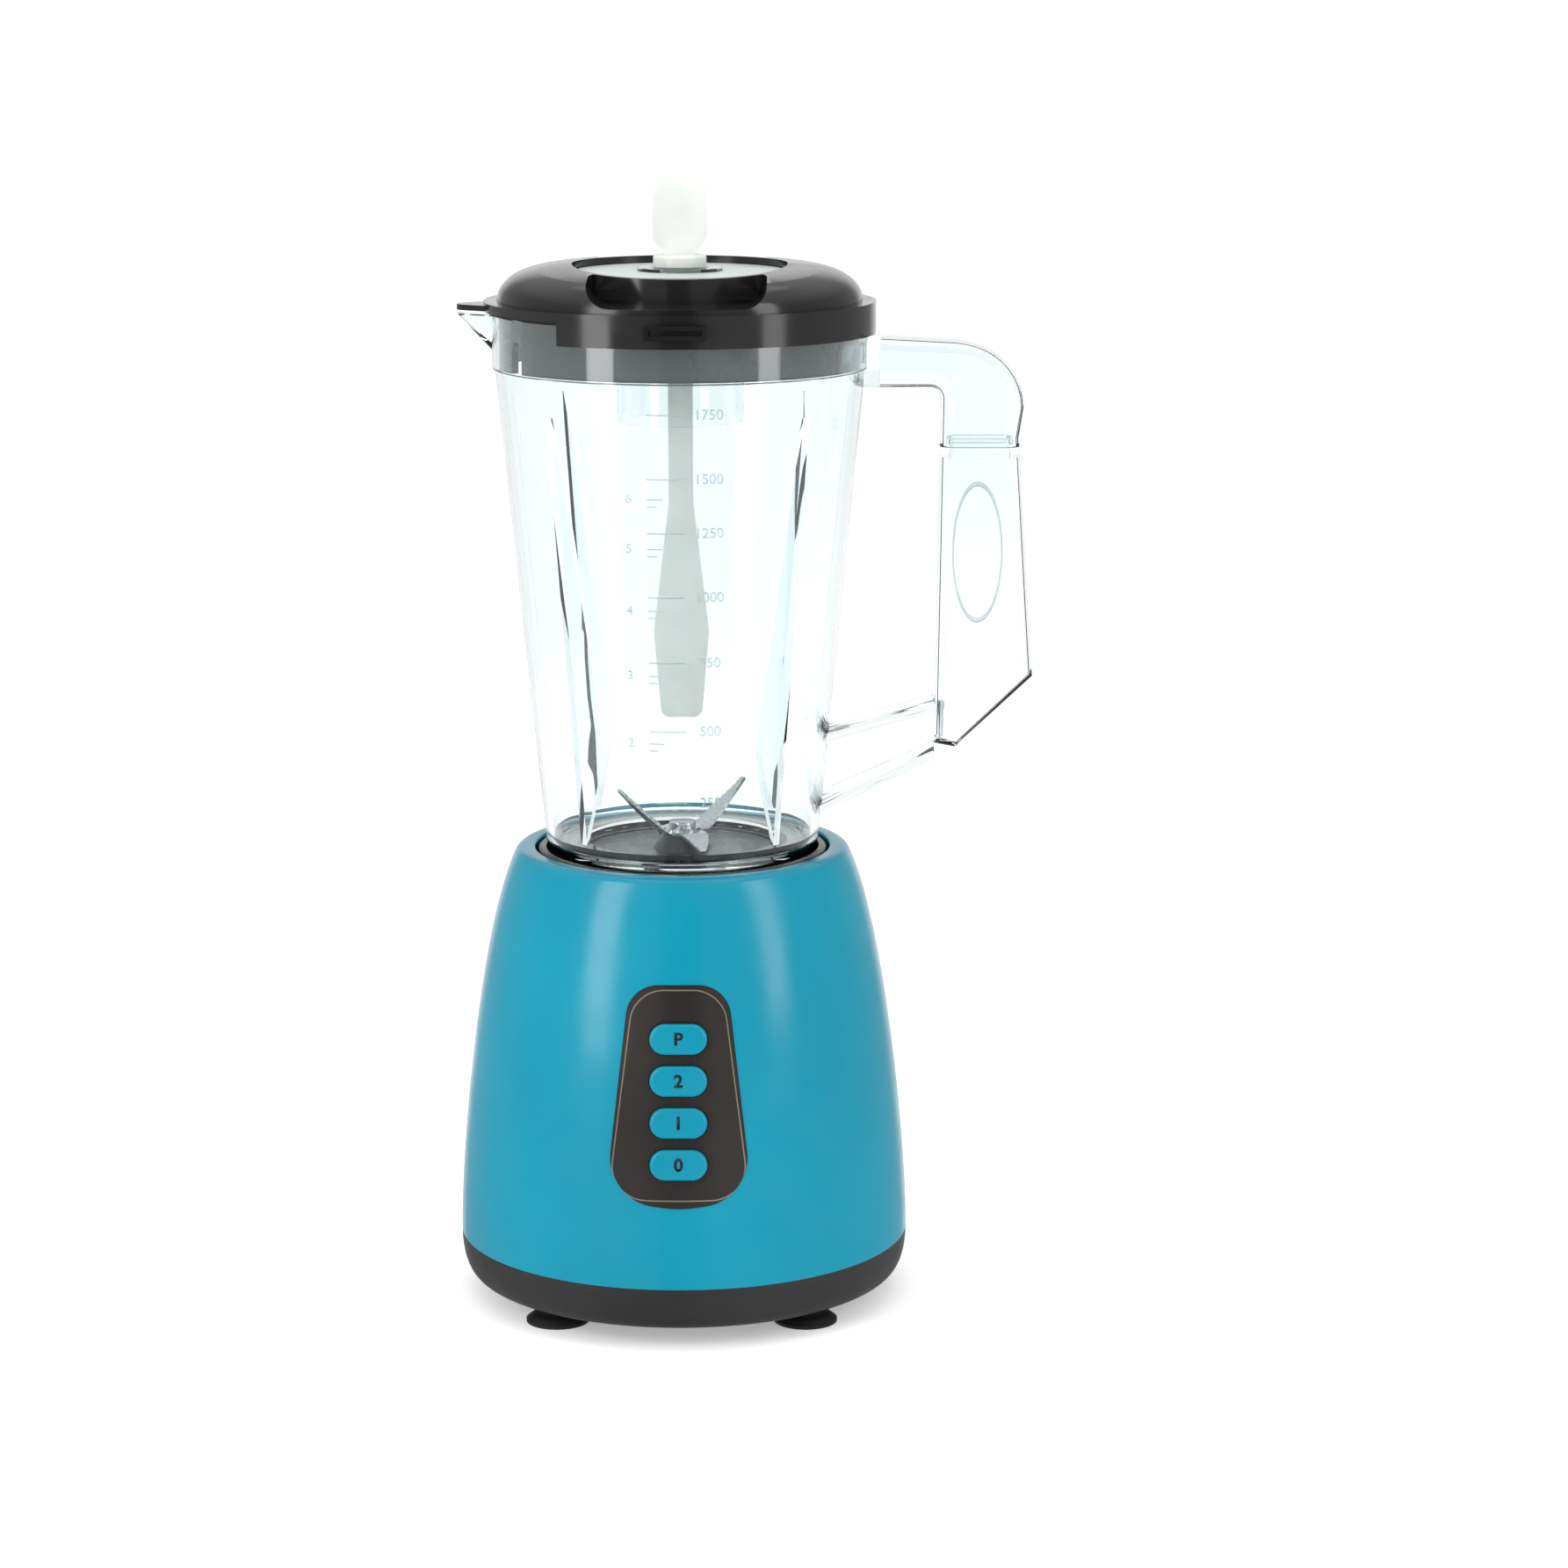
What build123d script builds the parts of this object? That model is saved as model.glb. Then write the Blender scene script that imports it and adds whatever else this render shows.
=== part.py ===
from build123d import *
from math import atan2, cos, hypot, radians, sin, sqrt
import os

# A countertop blender: a round motor base with four push buttons, a clear jug with a blade
# set in its foot, a lid, a measuring cup in the lid and a stirrer that hangs through the cup.
# The origin is on the blades' axis, on the surface that the feet stand on.  +Z is up, the
# buttons face -Y, the handle is on +X and the spout on -X.

os.makedirs("parts", exist_ok=True)

# ---------------------------------------------------------------- driving dimensions, mm
# clearances
seat_gap = 0.3            # between pieces of two bodies that lift off or slide
fit_gap = 0.15            # between pieces that are assembled once
bore_gap = 0.05           # round a shaft that turns in a bush or bearing
weld = 0.6                # how far a rib or boss is sunk into the wall that it grows from

# motor base
foot_height = 7.5
foot_radius = 11.7
foot_spacing = 92.0
foot_neck_radius = 5.0
foot_stem_radius = 3.6
trim_height = 16.5
trim_bottom_radius = 77.0
trim_wall = 2.6
base_radius = 84.4
base_top_ledge = 6.4      # from the seat's wall out to the housing's top edge
base_height = 147.5
base_wall = 2.6
base_top_thickness = 3.0
base_shoulder = 4.0
base_top_round = 1.0
lip_height = 4.0
lip_wall = 1.6
lip_ledge = 1.0           # of the seam inside the housing's widest circle
boss_radius = 4.2
boss_height = 20.0
boss_inset = 16.4         # from the housing's widest circle in to the bosses
boss_rib = 2.0
boss_head_room = 1.0      # from the cover's lip up to the bosses
boss_azimuth = 15.0
screw_radius = 1.6
screw_head_radius = 3.2
screw_head_height = 2.0
screw_slot_width = 0.8
vent_width = 3.0
vent_length = 24.0
vent_pitch = 7.0
vent_count = 5
gland_radius = 6.0
gland_flange_radius = 7.2
gland_flange = 2.4
gland_length = 14.0
gland_round = 0.9
gland_step = 1.0
cord_radius = 3.6

# jug seat in the top of the base
ring_radius = 54.0        # outside of the blade base, which stands in the seat
seat_room = 1.0           # round the blade base in its seat
seat_depth = 23.0
seat_wall = 2.2
seat_floor = 2.5
seat_flange_gap = 0.4     # from the seat's flange out to the housing's wall
seat_lip = 1.6            # round the hole that the coupling stands in
seat_lip_rise = 1.2
seat_pad = 2.0            # under the seat's floor, for the motor's mounts
lug_width = 6.0
lug_height = 2.5

# control panel and buttons
panel_top_width = 35.0
panel_bottom_width = 53.0
panel_height = 80.5
panel_rise = 70.2         # from the seam up to the panel's middle
panel_top_radius = 12.0
panel_bottom_radius = 17.0
panel_sag = 3.0
panel_proud = 0.4
panel_flange = 3.0
panel_flange_thickness = 2.0
panel_post_wall = 1.8
button_count = 4
button_length = 20.9
button_width = 11.2
button_space = 4.0        # between two neighbouring buttons
button_rise = 69.0        # from the seam up to the middle of the row
button_proud = 2.0
button_round = 1.4
button_travel = 2.6
button_flange = 1.4
button_flange_thickness = 1.4
plunger_width = 5.0
plunger_length = 8.0
plunger_gap = 0.4
button_float = 1.8        # from the panel's flange back to a button's flange
switch_width = 18.0
switch_depth = 18.0
switch_border = 8.0
switch_ear = 7.0
switch_ear_thickness = 3.0
switch_ear_lift = 4.0     # of the ears above the plungers' ends
switch_room = 1.0         # past the end of a button's travel

# motor
shaft_radius = 4.0
motor_drop = 12.0         # from the seat's floor to the top of the upper bracket
bracket_thickness = 3.0
bracket_width = 20.0
bearing_radius = 9.0
bearing_height = 7.0
bearing_cup_wall = 2.0
stator_width = 62.0
stator_height = 34.0
air_gap = 0.5
armature_radius = 18.0
coil_height = 8.0
coil_thickness = 7.0
commutator_radius = 11.0
commutator_height = 14.0
brush_width = 6.0
brush_length = 13.0
brush_wall = 1.5
commutator_clear = 2.0    # round the commutator, to the brackets and brush holders
commutator_room = 4.0     # along the shaft, to the lower bearing
winding_room = 0.5        # along the shaft, from the coils to the commutator
winding_inset = 2.0       # of the windings inside the armature's core
winding_gap = 1.5         # round the windings, to the field coils
window_edge = 1.0         # of a coil's window inside the edge of its pole
window_room = 1.6         # past the outside of a coil
lamination_round = 6.0
post_inset = 7.84         # from the core's corners in to the motor's screws
bracket_rim = 4.0
bearing_cup_floor = 1.0
shaft_room = 1.5
fan_radius = 33.0
fan_height = 12.0
fan_blades = 9
fan_disc = 2.0
fan_blade_thickness = 1.6
fan_hub_wall = 4.0
core_slots = 12
core_slot_length = 6.0
core_slot_width = 2.6
core_slot_depth = 4.0     # from the core's rim in to the middle of a slot
commutator_bars = 24
rotor_room = 3.0          # along the shaft between neighbouring motor parts
mount_radius = 7.0
mount_round = 1.0
ear_radius = 46.0
post_radius = 4.2
stud_radius = 2.0

# drive couplings
dog_count = 6
dog_root_radius = 6.5
dog_tip_radius = 10.0
dog_height = 7.0
dog_gap = 0.4
dog_base_rim = 2.0
dog_float = 0.8           # from the seat's floor up to the dogs
coupling_room = 1.5       # round the lower coupling
socket_wall = 3.5
socket_cap = 3.0

# jug
jug_foot_inset = 3.2      # from the blade base's outside in to the jug's foot
jug_foot_bevel = 3.0
jug_wall = 2.5
jug_floor = 3.0
jug_height = 178.3        # from the foot to the step under the rim collar
rim_height = 20.0
rim_radius = 68.8
rim_step = 1.0            # of the rim collar beyond the wall below it
jug_hole_radius = 36.0
neck_wall = 3.2
thread_pitch = 4.0
thread_height = 0.6
thread_width = 1.6
thread_start = 1.5
fin_count = 4
fin_thickness = 3.0
fin_depth = 13.5
fin_low = 4.0             # from the floor up to where a fin leaves the wall
fin_peak = 38.0
fin_drop = 13.3           # from the step under the rim down to a fin's point
fin_tip_drop = 18.0       # from the fin's point down to its shoulder
fin_tip_depth = 3.6
spout_reach = 12.8        # from the rim out to the spout's tip
spout_drop = 15.5
spout_tip_radius = 6.5
spout_root_radius = 24.0
spout_foot_radius = 4.5
spout_foot_set = 3.5
spout_flare = 2.0

# handle: sideways from the rim, down from the rim, or up from the jug's foot
handle_depth = 20.0
handle_wall = 2.2
handle_round = 6.0
arm_root_plate = 4.4
arm_root_sunk = 8.0
cement_gap = 0.05         # between the jug and what is cemented to it
arm_drop = 7.4            # from the rim down to the top of the arm
arm_thickness = 19.6
arm_reach = 57.2
grip_reach_inside = 26.6
grip_foot_reach = 24.8
grip_reach_outside = 61.2
grip_foot_rise = 37.7
grip_heel_rise = 64.4
grip_sunk_depth = 4.0     # how far the plates reach into the grip
sleeve_drop = 48.5        # from the rim down to the seam of the grip sleeve
plug_length = 3.0
plug_root = 4.0
strut_thickness = 3.2
strut_root_rise = 41.7
strut_grip_rise = 55.2
sill_root_rise = 14.2
sill_grip_rise = 38.5
strut_root_sunk = 2.0     # how far the struts start inside the jug's wall
web_thickness = 2.4

# blade base, shaft and blades
ring_wall = 3.0
ring_height = 22.2
ring_round = 1.2
web_rise = 7.2            # from the ring's foot up to the web
web_rib = 1.8
web_rib_depth = 3.5
pan_gap = 1.0             # between the pan and the hole in the jug's floor
pan_wall = 2.5
pan_height = 14.0
collar_wall = 2.6
hub_radius = 11.0
hub_top_radius = 7.6
hub_height = 5.5
bush_wall = 2.4
bush_length = 11.0
hub_lip = 1.5
seal_height = 2.0
gasket_thickness = 2.0
blade_thickness = 1.2
blade_hub_radius = 7.0
blade_width = 11.0
blade_float = 0.4         # from the hub up to the lower blade
upper_reach = 26.7
upper_rise = 16.5
lower_reach = 18.5
lower_drop = 4.8
upper_azimuth = 32.0
lower_azimuth = 300.0
nut_height = 2.2
nut_rim = 1.0             # of the nut beyond the shaft
nut_slot_width = 1.4
nut_slot_depth = 1.0

# lid
lid_wall = 2.2
skirt_gap = 0.6
skirt_wall = 2.3
skirt_depth = 11.6
lid_flange = 3.4
dome_height = 13.4
dome_ledge = 4.9          # from the dome's foot out to the skirt's outside
crown_edge = 2.1          # from the cup's recess out to where the dome starts down
crown_step = 2.7          # from the crown down to the top of the measuring cup
plug_depth = 20.5
plug_wall = 2.2
gap_half_angle = 54.0
scoop_width = 64.0
scoop_wall_inset = 0.8    # from the cup plate's edge in to the hollow's back wall
scoop_floor = 1.6         # above the lid's flange
scoop_corner = 14.0
scoop_floor_round = 8.0
slot_count = 3
slot_width = 7.0
slot_height = 15.0
slot_spread = 31.0
latch_width = 22.0
latch_height = 5.0
latch_thickness = 1.6
latch_root = 1.6
seal_thickness = 1.0

# measuring cup
cup_plate_radius = 38.8
cup_plate = 2.0
cup_plate_gap = 0.6
cup_hole_gap = 0.8
cup_radius = 23.4
cup_wall = 1.8
cup_depth = 54.7
cup_boss_radius = 15.5
cup_boss_height = 1.2
cup_groove_width = 3.8
cup_groove_depth = 1.0

# stirrer
stirrer_thickness = 4.4
stirrer_collar_radius = 9.75
stirrer_collar = 4.3
stirrer_top = 31.8        # from the collar's underside to the top of the handle
stirrer_handle_width = 19.8
stirrer_neck_width = 11.2
stirrer_shaft_width = 9.0
stirrer_length = 166.5    # from the collar's underside to the tip
paddle_width = 20.4
paddle_tip_width = 15.0
paddle_length = 50.0
slot_gap = 0.5

# ---------------------------------------------------------------- levels, from the feet up
seam_z = foot_height + trim_height
base_top_z = seam_z + base_height
seat_z = base_top_z - seat_depth
ring_z = seat_z + seat_gap
jug_z = ring_z + ring_height + seat_gap
floor_z = jug_z + jug_floor
step_z = jug_z + jug_height
rim_z = step_z + rim_height
panel_mid_z = seam_z + panel_rise
button_mid_z = seam_z + button_rise
seat_radius = ring_radius + seat_room
base_top_radius = seat_radius + base_top_ledge
boss_circle = base_radius - boss_inset
jug_bottom_radius = ring_radius - jug_foot_inset
jug_top_radius = rim_radius - rim_step
neck_radius = jug_hole_radius + neck_wall
pan_radius = jug_hole_radius - pan_gap
button_pitch = button_width + button_space


def mix(a, b, share):
    """The value that lies a share of the way from a to b."""
    return a + (b - a) * share


def housing_curve(inset):
    """Bezier points of the housing's side, moved in by an inset."""
    shoulder = mix(base_top_radius, base_radius, 0.61)
    return [
        (base_radius - inset, seam_z),
        (base_radius - inset, mix(seam_z, base_top_z, 0.225)),
        (shoulder - inset, mix(seam_z, base_top_z, 0.825)),
        (base_top_radius - inset, base_top_z),
    ]


def housing_radius(z, inset=0.0):
    """The housing's radius at a height, found by halving the curve's parameter."""
    points = housing_curve(inset)
    low, high = 0.0, 1.0
    for _ in range(40):
        t = (low + high) / 2
        weights = [(1 - t) ** 3, 3 * t * (1 - t) ** 2, 3 * t * t * (1 - t), t ** 3]
        radius = sum(w * p[0] for w, p in zip(weights, points))
        height = sum(w * p[1] for w, p in zip(weights, points))
        if height < z:
            low = t
        else:
            high = t
    return radius


def turned(*outlines):
    """A solid turned about Z from closed outlines of (radius, height) points."""
    with BuildPart(mode=Mode.PRIVATE) as body:
        with BuildSketch(Plane.XZ):
            for outline in outlines:
                with BuildLine():
                    Polyline(*outline, close=True)
                make_face()
        revolve(axis=Axis.Z)
    return body.part


def tube(inner, outer, low, high):
    """The four corners of a ring's section."""
    return [(inner, low), (outer, low), (outer, high), (inner, high)]


def housing_body(inset, top):
    """The solid inside the housing's side curve, from the seam up to a level."""
    with BuildPart(mode=Mode.PRIVATE) as body:
        with BuildSketch(Plane.XZ):
            with BuildLine():
                side = Bezier(*housing_curve(inset))
                Polyline(side @ 1, (0, base_top_z), (0, seam_z), side @ 0)
            make_face()
        revolve(axis=Axis.Z)
        with BuildSketch(Plane.XY.offset(top)):
            Circle(2 * base_radius)
        extrude(amount=2 * base_height, mode=Mode.SUBTRACT)
    return body.part


def screw(radius, length, head_radius, head_height):
    """A pan-head screw that points up, with its head's underside at the origin."""
    with BuildPart(mode=Mode.PRIVATE) as body:
        with BuildSketch(Plane.XY):
            Circle(radius)
        extrude(amount=length)
        with BuildSketch(Plane.XY.offset(-head_height)):
            Circle(head_radius)
        extrude(amount=head_height)
        fillet(body.edges().group_by(Axis.Z)[0], head_height * 0.4)
        with BuildSketch(Plane.XY.offset(-head_height)):
            Rectangle(head_radius * 1.1, screw_slot_width)
            Rectangle(screw_slot_width, head_radius * 1.1)
        extrude(amount=head_height * 0.6, mode=Mode.SUBTRACT)
    return body.part


# ---------------------------------------------------------------- motor base: shells
panel_low = panel_mid_z - panel_height / 2
panel_high = panel_mid_z + panel_height / 2
boss_low = seam_z + lip_height + boss_head_room
boss_places = PolarLocations(boss_circle, 4, start_angle=boss_azimuth)


def panel_outline(grow):
    """The control panel's rounded trapezium, seen from the front, moved out by grow."""
    with BuildSketch(Plane.XZ, mode=Mode.PRIVATE) as outline:
        with BuildLine():
            Polyline(
                (-panel_top_width / 2, panel_high),
                (panel_top_width / 2, panel_high),
                (panel_bottom_width / 2, panel_low + panel_sag),
                (0, panel_low),
                (-panel_bottom_width / 2, panel_low + panel_sag),
                close=True,
            )
        make_face()
        fillet(outline.vertices().group_by(Axis.Y)[-1], panel_top_radius)
        fillet(outline.vertices().group_by(Axis.Y)[1], panel_bottom_radius)
        fillet(outline.vertices().group_by(Axis.Y)[0], 3 * panel_bottom_radius)
        if grow:
            offset(amount=grow)
    return outline.sketch


# The housing is a bell with a round opening in its top for the jug seat, a window for the
# control panel in its front and four bosses inside for the bottom cover's screws.
with BuildPart() as base_housing:
    with BuildSketch(Plane.XZ) as bell:
        with BuildLine():
            side = Bezier(*housing_curve(0))
            Polyline(side @ 1, (0, base_top_z), (0, seam_z), side @ 0)
        make_face()
        fillet(bell.vertices().sort_by_distance((base_top_radius, base_top_z, 0))[0], base_shoulder)
    revolve(axis=Axis.Z)
    add(housing_body(base_wall, base_top_z - base_top_thickness), mode=Mode.SUBTRACT)
    with BuildSketch(Plane.XY.offset(base_top_z)):
        Circle(seat_radius)
    extrude(amount=-2 * base_top_thickness, mode=Mode.SUBTRACT)
    fillet(base_housing.edges().filter_by(GeomType.CIRCLE).group_by(Axis.Z)[-1], base_top_round)
    extrude(panel_outline(fit_gap), amount=base_radius * 1.2, mode=Mode.SUBTRACT)
    with BuildSketch(Plane.XY.offset(boss_low)):
        with boss_places:
            Circle(boss_radius)
    extrude(amount=boss_height)
    with BuildPart(mode=Mode.PRIVATE) as ribs:
        rib_length = base_radius - boss_circle
        with BuildSketch(Plane.XY.offset(boss_low)):
            with PolarLocations(boss_circle + rib_length / 2, 4, start_angle=boss_azimuth):
                Rectangle(rib_length, boss_rib)
        extrude(amount=boss_height)
        add(housing_body(base_wall - weld, base_top_z), mode=Mode.INTERSECT)
    add(ribs.part)
    with BuildSketch(Plane.XY.offset(boss_low)):
        with boss_places:
            Circle(screw_radius)
    extrude(amount=boss_height * 0.8, mode=Mode.SUBTRACT)
base_housing.part.label = "base_housing"
export_step(base_housing.part, "parts/base_housing.step")

# The bottom cover is a shallow pan with a rounded underside, a lip that centres it in the
# housing, pillars for its screws, holes for the feet and slots for the fan's air.
cover_low = foot_height
foot_places = GridLocations(foot_spacing, foot_spacing, 2, 2)
gland_z = mix(cover_low, seam_z, 0.55)

with BuildPart() as bottom_cover:
    for inset, low in ((0, cover_low), (trim_wall, cover_low + trim_wall)):
        with BuildSketch(Plane.XZ):
            with BuildLine():
                rim = Polyline((trim_bottom_radius - inset, low), (0, low), (0, seam_z),
                               (base_radius - inset, seam_z))
                Bezier(rim @ 1, (base_radius - inset, mix(low, seam_z, 0.35)),
                       (mix(trim_bottom_radius, base_radius, 0.6) - inset, low), rim @ 0)
            make_face()
        revolve(axis=Axis.Z, mode=Mode.SUBTRACT if inset else Mode.ADD)
    lip_outer = base_radius - base_wall - fit_gap
    add(turned(tube(lip_outer - lip_wall, lip_outer, seam_z - weld, seam_z + lip_height)))
    add(turned(tube(lip_outer - lip_wall, base_radius - lip_ledge, seam_z - lip_wall, seam_z)))
    with BuildSketch(Plane.XY.offset(cover_low)):
        with boss_places:
            Circle(boss_radius)
    extrude(amount=boss_low - cover_low)
    with BuildSketch(Plane.XY.offset(cover_low)):
        with foot_places:
            Circle(foot_stem_radius + fit_gap)
        with boss_places:
            Circle(screw_radius + fit_gap)
        with GridLocations(vent_pitch, 0, vent_count, 1):
            SlotOverall(vent_length, vent_width, rotation=90)
    extrude(amount=base_height, mode=Mode.SUBTRACT)
    with BuildSketch(Plane.XY.offset(cover_low)):
        with boss_places:
            Circle(screw_head_radius + fit_gap)
    extrude(amount=screw_head_height, mode=Mode.SUBTRACT)
    with BuildSketch(Plane.XZ.offset(-base_radius)):
        with Locations((0, gland_z)):
            Circle(gland_radius)
    extrude(amount=2 * gland_length, mode=Mode.SUBTRACT)
bottom_cover.part.label = "bottom_cover"
export_step(bottom_cover.part, "parts/bottom_cover.step")

with BuildPart() as cover_screws:
    for place in boss_places:
        head_z = cover_low + screw_head_height
        x, y = place.position.X, place.position.Y
        length = boss_low + boss_height * 0.7 - head_z
        add(Pos(x, y, head_z) * screw(screw_radius, length, screw_head_radius, screw_head_height))
cover_screws.part.label = "cover_screws"
export_step(cover_screws.part, "parts/cover_screws.step")

# The cord comes out at the back through a rubber gland, which the cover's edge grips.
with BuildPart() as cord_gland:
    gland_out = base_radius + gland_flange
    with BuildSketch(Plane.XZ.offset(-gland_out)):
        with Locations((0, gland_z)):
            Circle(gland_radius)
    extrude(amount=gland_length)
    with BuildSketch(Plane.XZ.offset(-gland_out)):
        with Locations((0, gland_z)):
            Circle(gland_flange_radius)
    extrude(amount=gland_flange)
    fillet(cord_gland.edges().filter_by(GeomType.CIRCLE).sort_by(Axis.Y)[-1], gland_round)
    with BuildSketch(Plane.XZ.offset(-gland_out + gland_length)):
        with Locations((0, gland_z)):
            Circle(gland_flange_radius - gland_step)
    extrude(amount=gland_flange)
    with BuildSketch(Plane.XZ.offset(-gland_out - gland_step)):
        with Locations((0, gland_z)):
            Circle(cord_radius)
    extrude(amount=2 * gland_length, mode=Mode.SUBTRACT)
cord_gland.part.label = "cord_gland"
export_step(cord_gland.part, "parts/cord_gland.step")

# Four rubber suction feet: a thin cup, a neck and a button that snaps into the cover.
foot_names = ["foot_front_left", "foot_front_right", "foot_back_left", "foot_back_right"]
half = foot_spacing / 2
foot_centres = [(-half, -half), (half, -half), (-half, half), (half, half)]
for name, centre in zip(foot_names, foot_centres):
    stem_top = cover_low + trim_wall
    outline = [
        (0, 1.6), (foot_radius - 3.2, 0.9), (foot_radius - 1.2, 0), (foot_radius, 0),
        (foot_radius, 1.1), (foot_radius - 2.0, 2.6), (foot_neck_radius + 1.4, 3.6),
        (foot_neck_radius, 5.2), (foot_neck_radius, cover_low), (foot_stem_radius, cover_low),
        (foot_stem_radius, stem_top), (foot_neck_radius, stem_top),
        (foot_neck_radius - 1.4, stem_top + 2.6), (0, stem_top + 2.6),
    ]
    with BuildPart() as foot:
        with BuildSketch(Plane((centre[0], centre[1], 0), x_dir=(1, 0, 0), z_dir=(0, -1, 0))):
            with BuildLine():
                Polyline(*outline, close=True)
            make_face()
        revolve(axis=Axis((centre[0], centre[1], 0), (0, 0, 1)))
    foot.part.label = name
    export_step(foot.part, f"parts/{name}.step")

# The jug seat is a dark well that hangs under the housing's top.  The blade base stands on
# its floor, four lugs on its wall take the motor's mounts, and its hole clears the coupling.
seat_low = seat_z - seat_floor
seat_top = base_top_z - base_top_thickness
seat_flange_radius = housing_radius(seat_top, base_wall) - seat_flange_gap
dog_base_radius = dog_tip_radius + dog_base_rim
coupling_hole = dog_base_radius + coupling_room
mount_low = seat_z - motor_drop
with BuildPart() as jug_seat:
    add(turned(
        tube(coupling_hole, seat_radius + seat_wall, seat_low, seat_z),
        tube(seat_radius, seat_radius + seat_wall, seat_low, seat_top),
        tube(seat_radius, seat_flange_radius, seat_top - seat_wall, seat_top),
        tube(coupling_hole, coupling_hole + seat_lip, seat_low, seat_z + seat_lip_rise),
    ))
    with BuildSketch(Plane.XY.offset(seat_low)):
        with PolarLocations(ear_radius, 4, start_angle=45):
            Circle(mount_radius - mount_round)
    extrude(amount=-seat_pad)
    with BuildSketch(Plane.XY.offset(seat_z)):
        with PolarLocations(ring_radius - ring_wall / 2, 4, start_angle=45):
            Rectangle(ring_wall + seat_room, lug_width)
    extrude(amount=lug_height)
jug_seat.part.label = "jug_seat"
export_step(jug_seat.part, "parts/jug_seat.step")

# ---------------------------------------------------------------- control panel and buttons
row_half = (button_count - 1) * button_pitch / 2
row_low, row_high = button_mid_z - row_half, button_mid_z + row_half
lean = atan2(housing_radius(row_low) - housing_radius(row_high), row_high - row_low)
panel_plane = Plane(
    origin=(0, -housing_radius(button_mid_z), button_mid_z),
    x_dir=(1, 0, 0),
    z_dir=(0, -cos(lean), sin(lean)),
)
row = [(button_count - 1) / 2 - i for i in range(button_count)]
button_heights = [button_pitch * place for place in row]
panel_inside = -(base_wall + panel_flange_thickness)
flange_top = panel_inside - button_float
flange_low = flange_top - button_flange_thickness
ear_level = flange_low - plunger_length + switch_ear_lift
switch_half = row_half + switch_border
screw_row = switch_half + switch_ear / 2

# The panel is a plug that fills the housing's window, with a flange behind the window's
# edge, four holes for the buttons and two posts for the switch's screws.
with BuildPart() as control_panel:
    extrude(panel_outline(0), amount=base_radius * 1.2)
    add(housing_body(-panel_proud, base_top_z), mode=Mode.INTERSECT)
    add(housing_body(base_wall, base_top_z), mode=Mode.SUBTRACT)
    with BuildPart(mode=Mode.PRIVATE) as behind:
        extrude(panel_outline(panel_flange), amount=base_radius * 1.2)
        add(housing_body(base_wall, base_top_z), mode=Mode.INTERSECT)
        add(housing_body(base_wall + panel_flange_thickness, base_top_z), mode=Mode.SUBTRACT)
    add(behind.part)
    with BuildSketch(panel_plane.offset(ear_level)):
        with Locations((0, screw_row), (0, -screw_row)):
            Circle(screw_radius + panel_post_wall)
    extrude(until=Until.NEXT)
    with BuildSketch(panel_plane.offset(ear_level)):
        with Locations((0, screw_row), (0, -screw_row)):
            Circle(screw_radius * 0.8)
    extrude(amount=-panel_inside, mode=Mode.SUBTRACT)
    with BuildSketch(panel_plane.offset(2 * panel_inside)):
        for height in button_heights:
            with Locations((0, height)):
                SlotOverall(button_length + 2 * seat_gap, button_width + 2 * seat_gap)
    extrude(amount=-4 * panel_inside, mode=Mode.SUBTRACT)
control_panel.part.label = "control_panel"
export_step(control_panel.part, "parts/control_panel.step")

# Each button is a rounded key with a flange that keeps it in the panel, and a plunger that
# works the switch.  From the top: pulse, fast, slow and stop.
button_names = ["pulse", "speed_2", "speed_1", "stop"]
for name, height in zip(button_names, button_heights):
    key_plane = panel_plane.shift_origin(panel_plane.from_local_coords((0, height, 0)))
    with BuildPart() as key:
        with BuildSketch(key_plane.offset(flange_top - weld)):
            SlotOverall(button_length, button_width)
        extrude(amount=button_proud - flange_top + weld)
        out = Axis(key_plane.origin, key_plane.z_dir)
        fillet(key.faces().sort_by(out)[-1].edges(), button_round)
        with BuildSketch(key_plane.offset(flange_low)):
            SlotOverall(button_length + 2 * button_flange, button_width + 2 * button_flange)
        extrude(amount=button_flange_thickness)
    key.part.label = f"{name}_button"
    export_step(key.part, f"parts/{name}_button.step")
    with BuildPart() as plunger:
        with BuildSketch(key_plane.offset(flange_low)):
            Rectangle(plunger_width, plunger_width)
        extrude(amount=-plunger_length)
    plunger.part.label = f"{name}_plunger"
    export_step(plunger.part, f"parts/{name}_plunger.step")

# The switch is a block behind the buttons, held to the panel's posts by an ear at each end.
switch_top = flange_low - button_travel - switch_room
plunger_low = flange_low - plunger_length
with BuildPart() as switch_body:
    with BuildSketch(panel_plane.offset(switch_top)):
        Rectangle(switch_width, 2 * switch_half)
    extrude(amount=-switch_depth)
    with BuildSketch(panel_plane.offset(ear_level)):
        Rectangle(switch_width * 0.6, 2 * (switch_half + switch_ear))
    extrude(amount=-switch_ear_thickness)
    with BuildSketch(panel_plane.offset(switch_top)):
        for height in button_heights:
            with Locations((0, height)):
                Rectangle(plunger_width + 2 * plunger_gap, plunger_width + 2 * plunger_gap)
    extrude(amount=plunger_low - button_travel - switch_room - switch_top, mode=Mode.SUBTRACT)
    with BuildSketch(panel_plane.offset(ear_level)):
        with Locations((0, screw_row), (0, -screw_row)):
            Circle(screw_radius + fit_gap)
    extrude(amount=-switch_ear_thickness, mode=Mode.SUBTRACT)
switch_body.part.label = "switch_body"
export_step(switch_body.part, "parts/switch_body.step")

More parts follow.
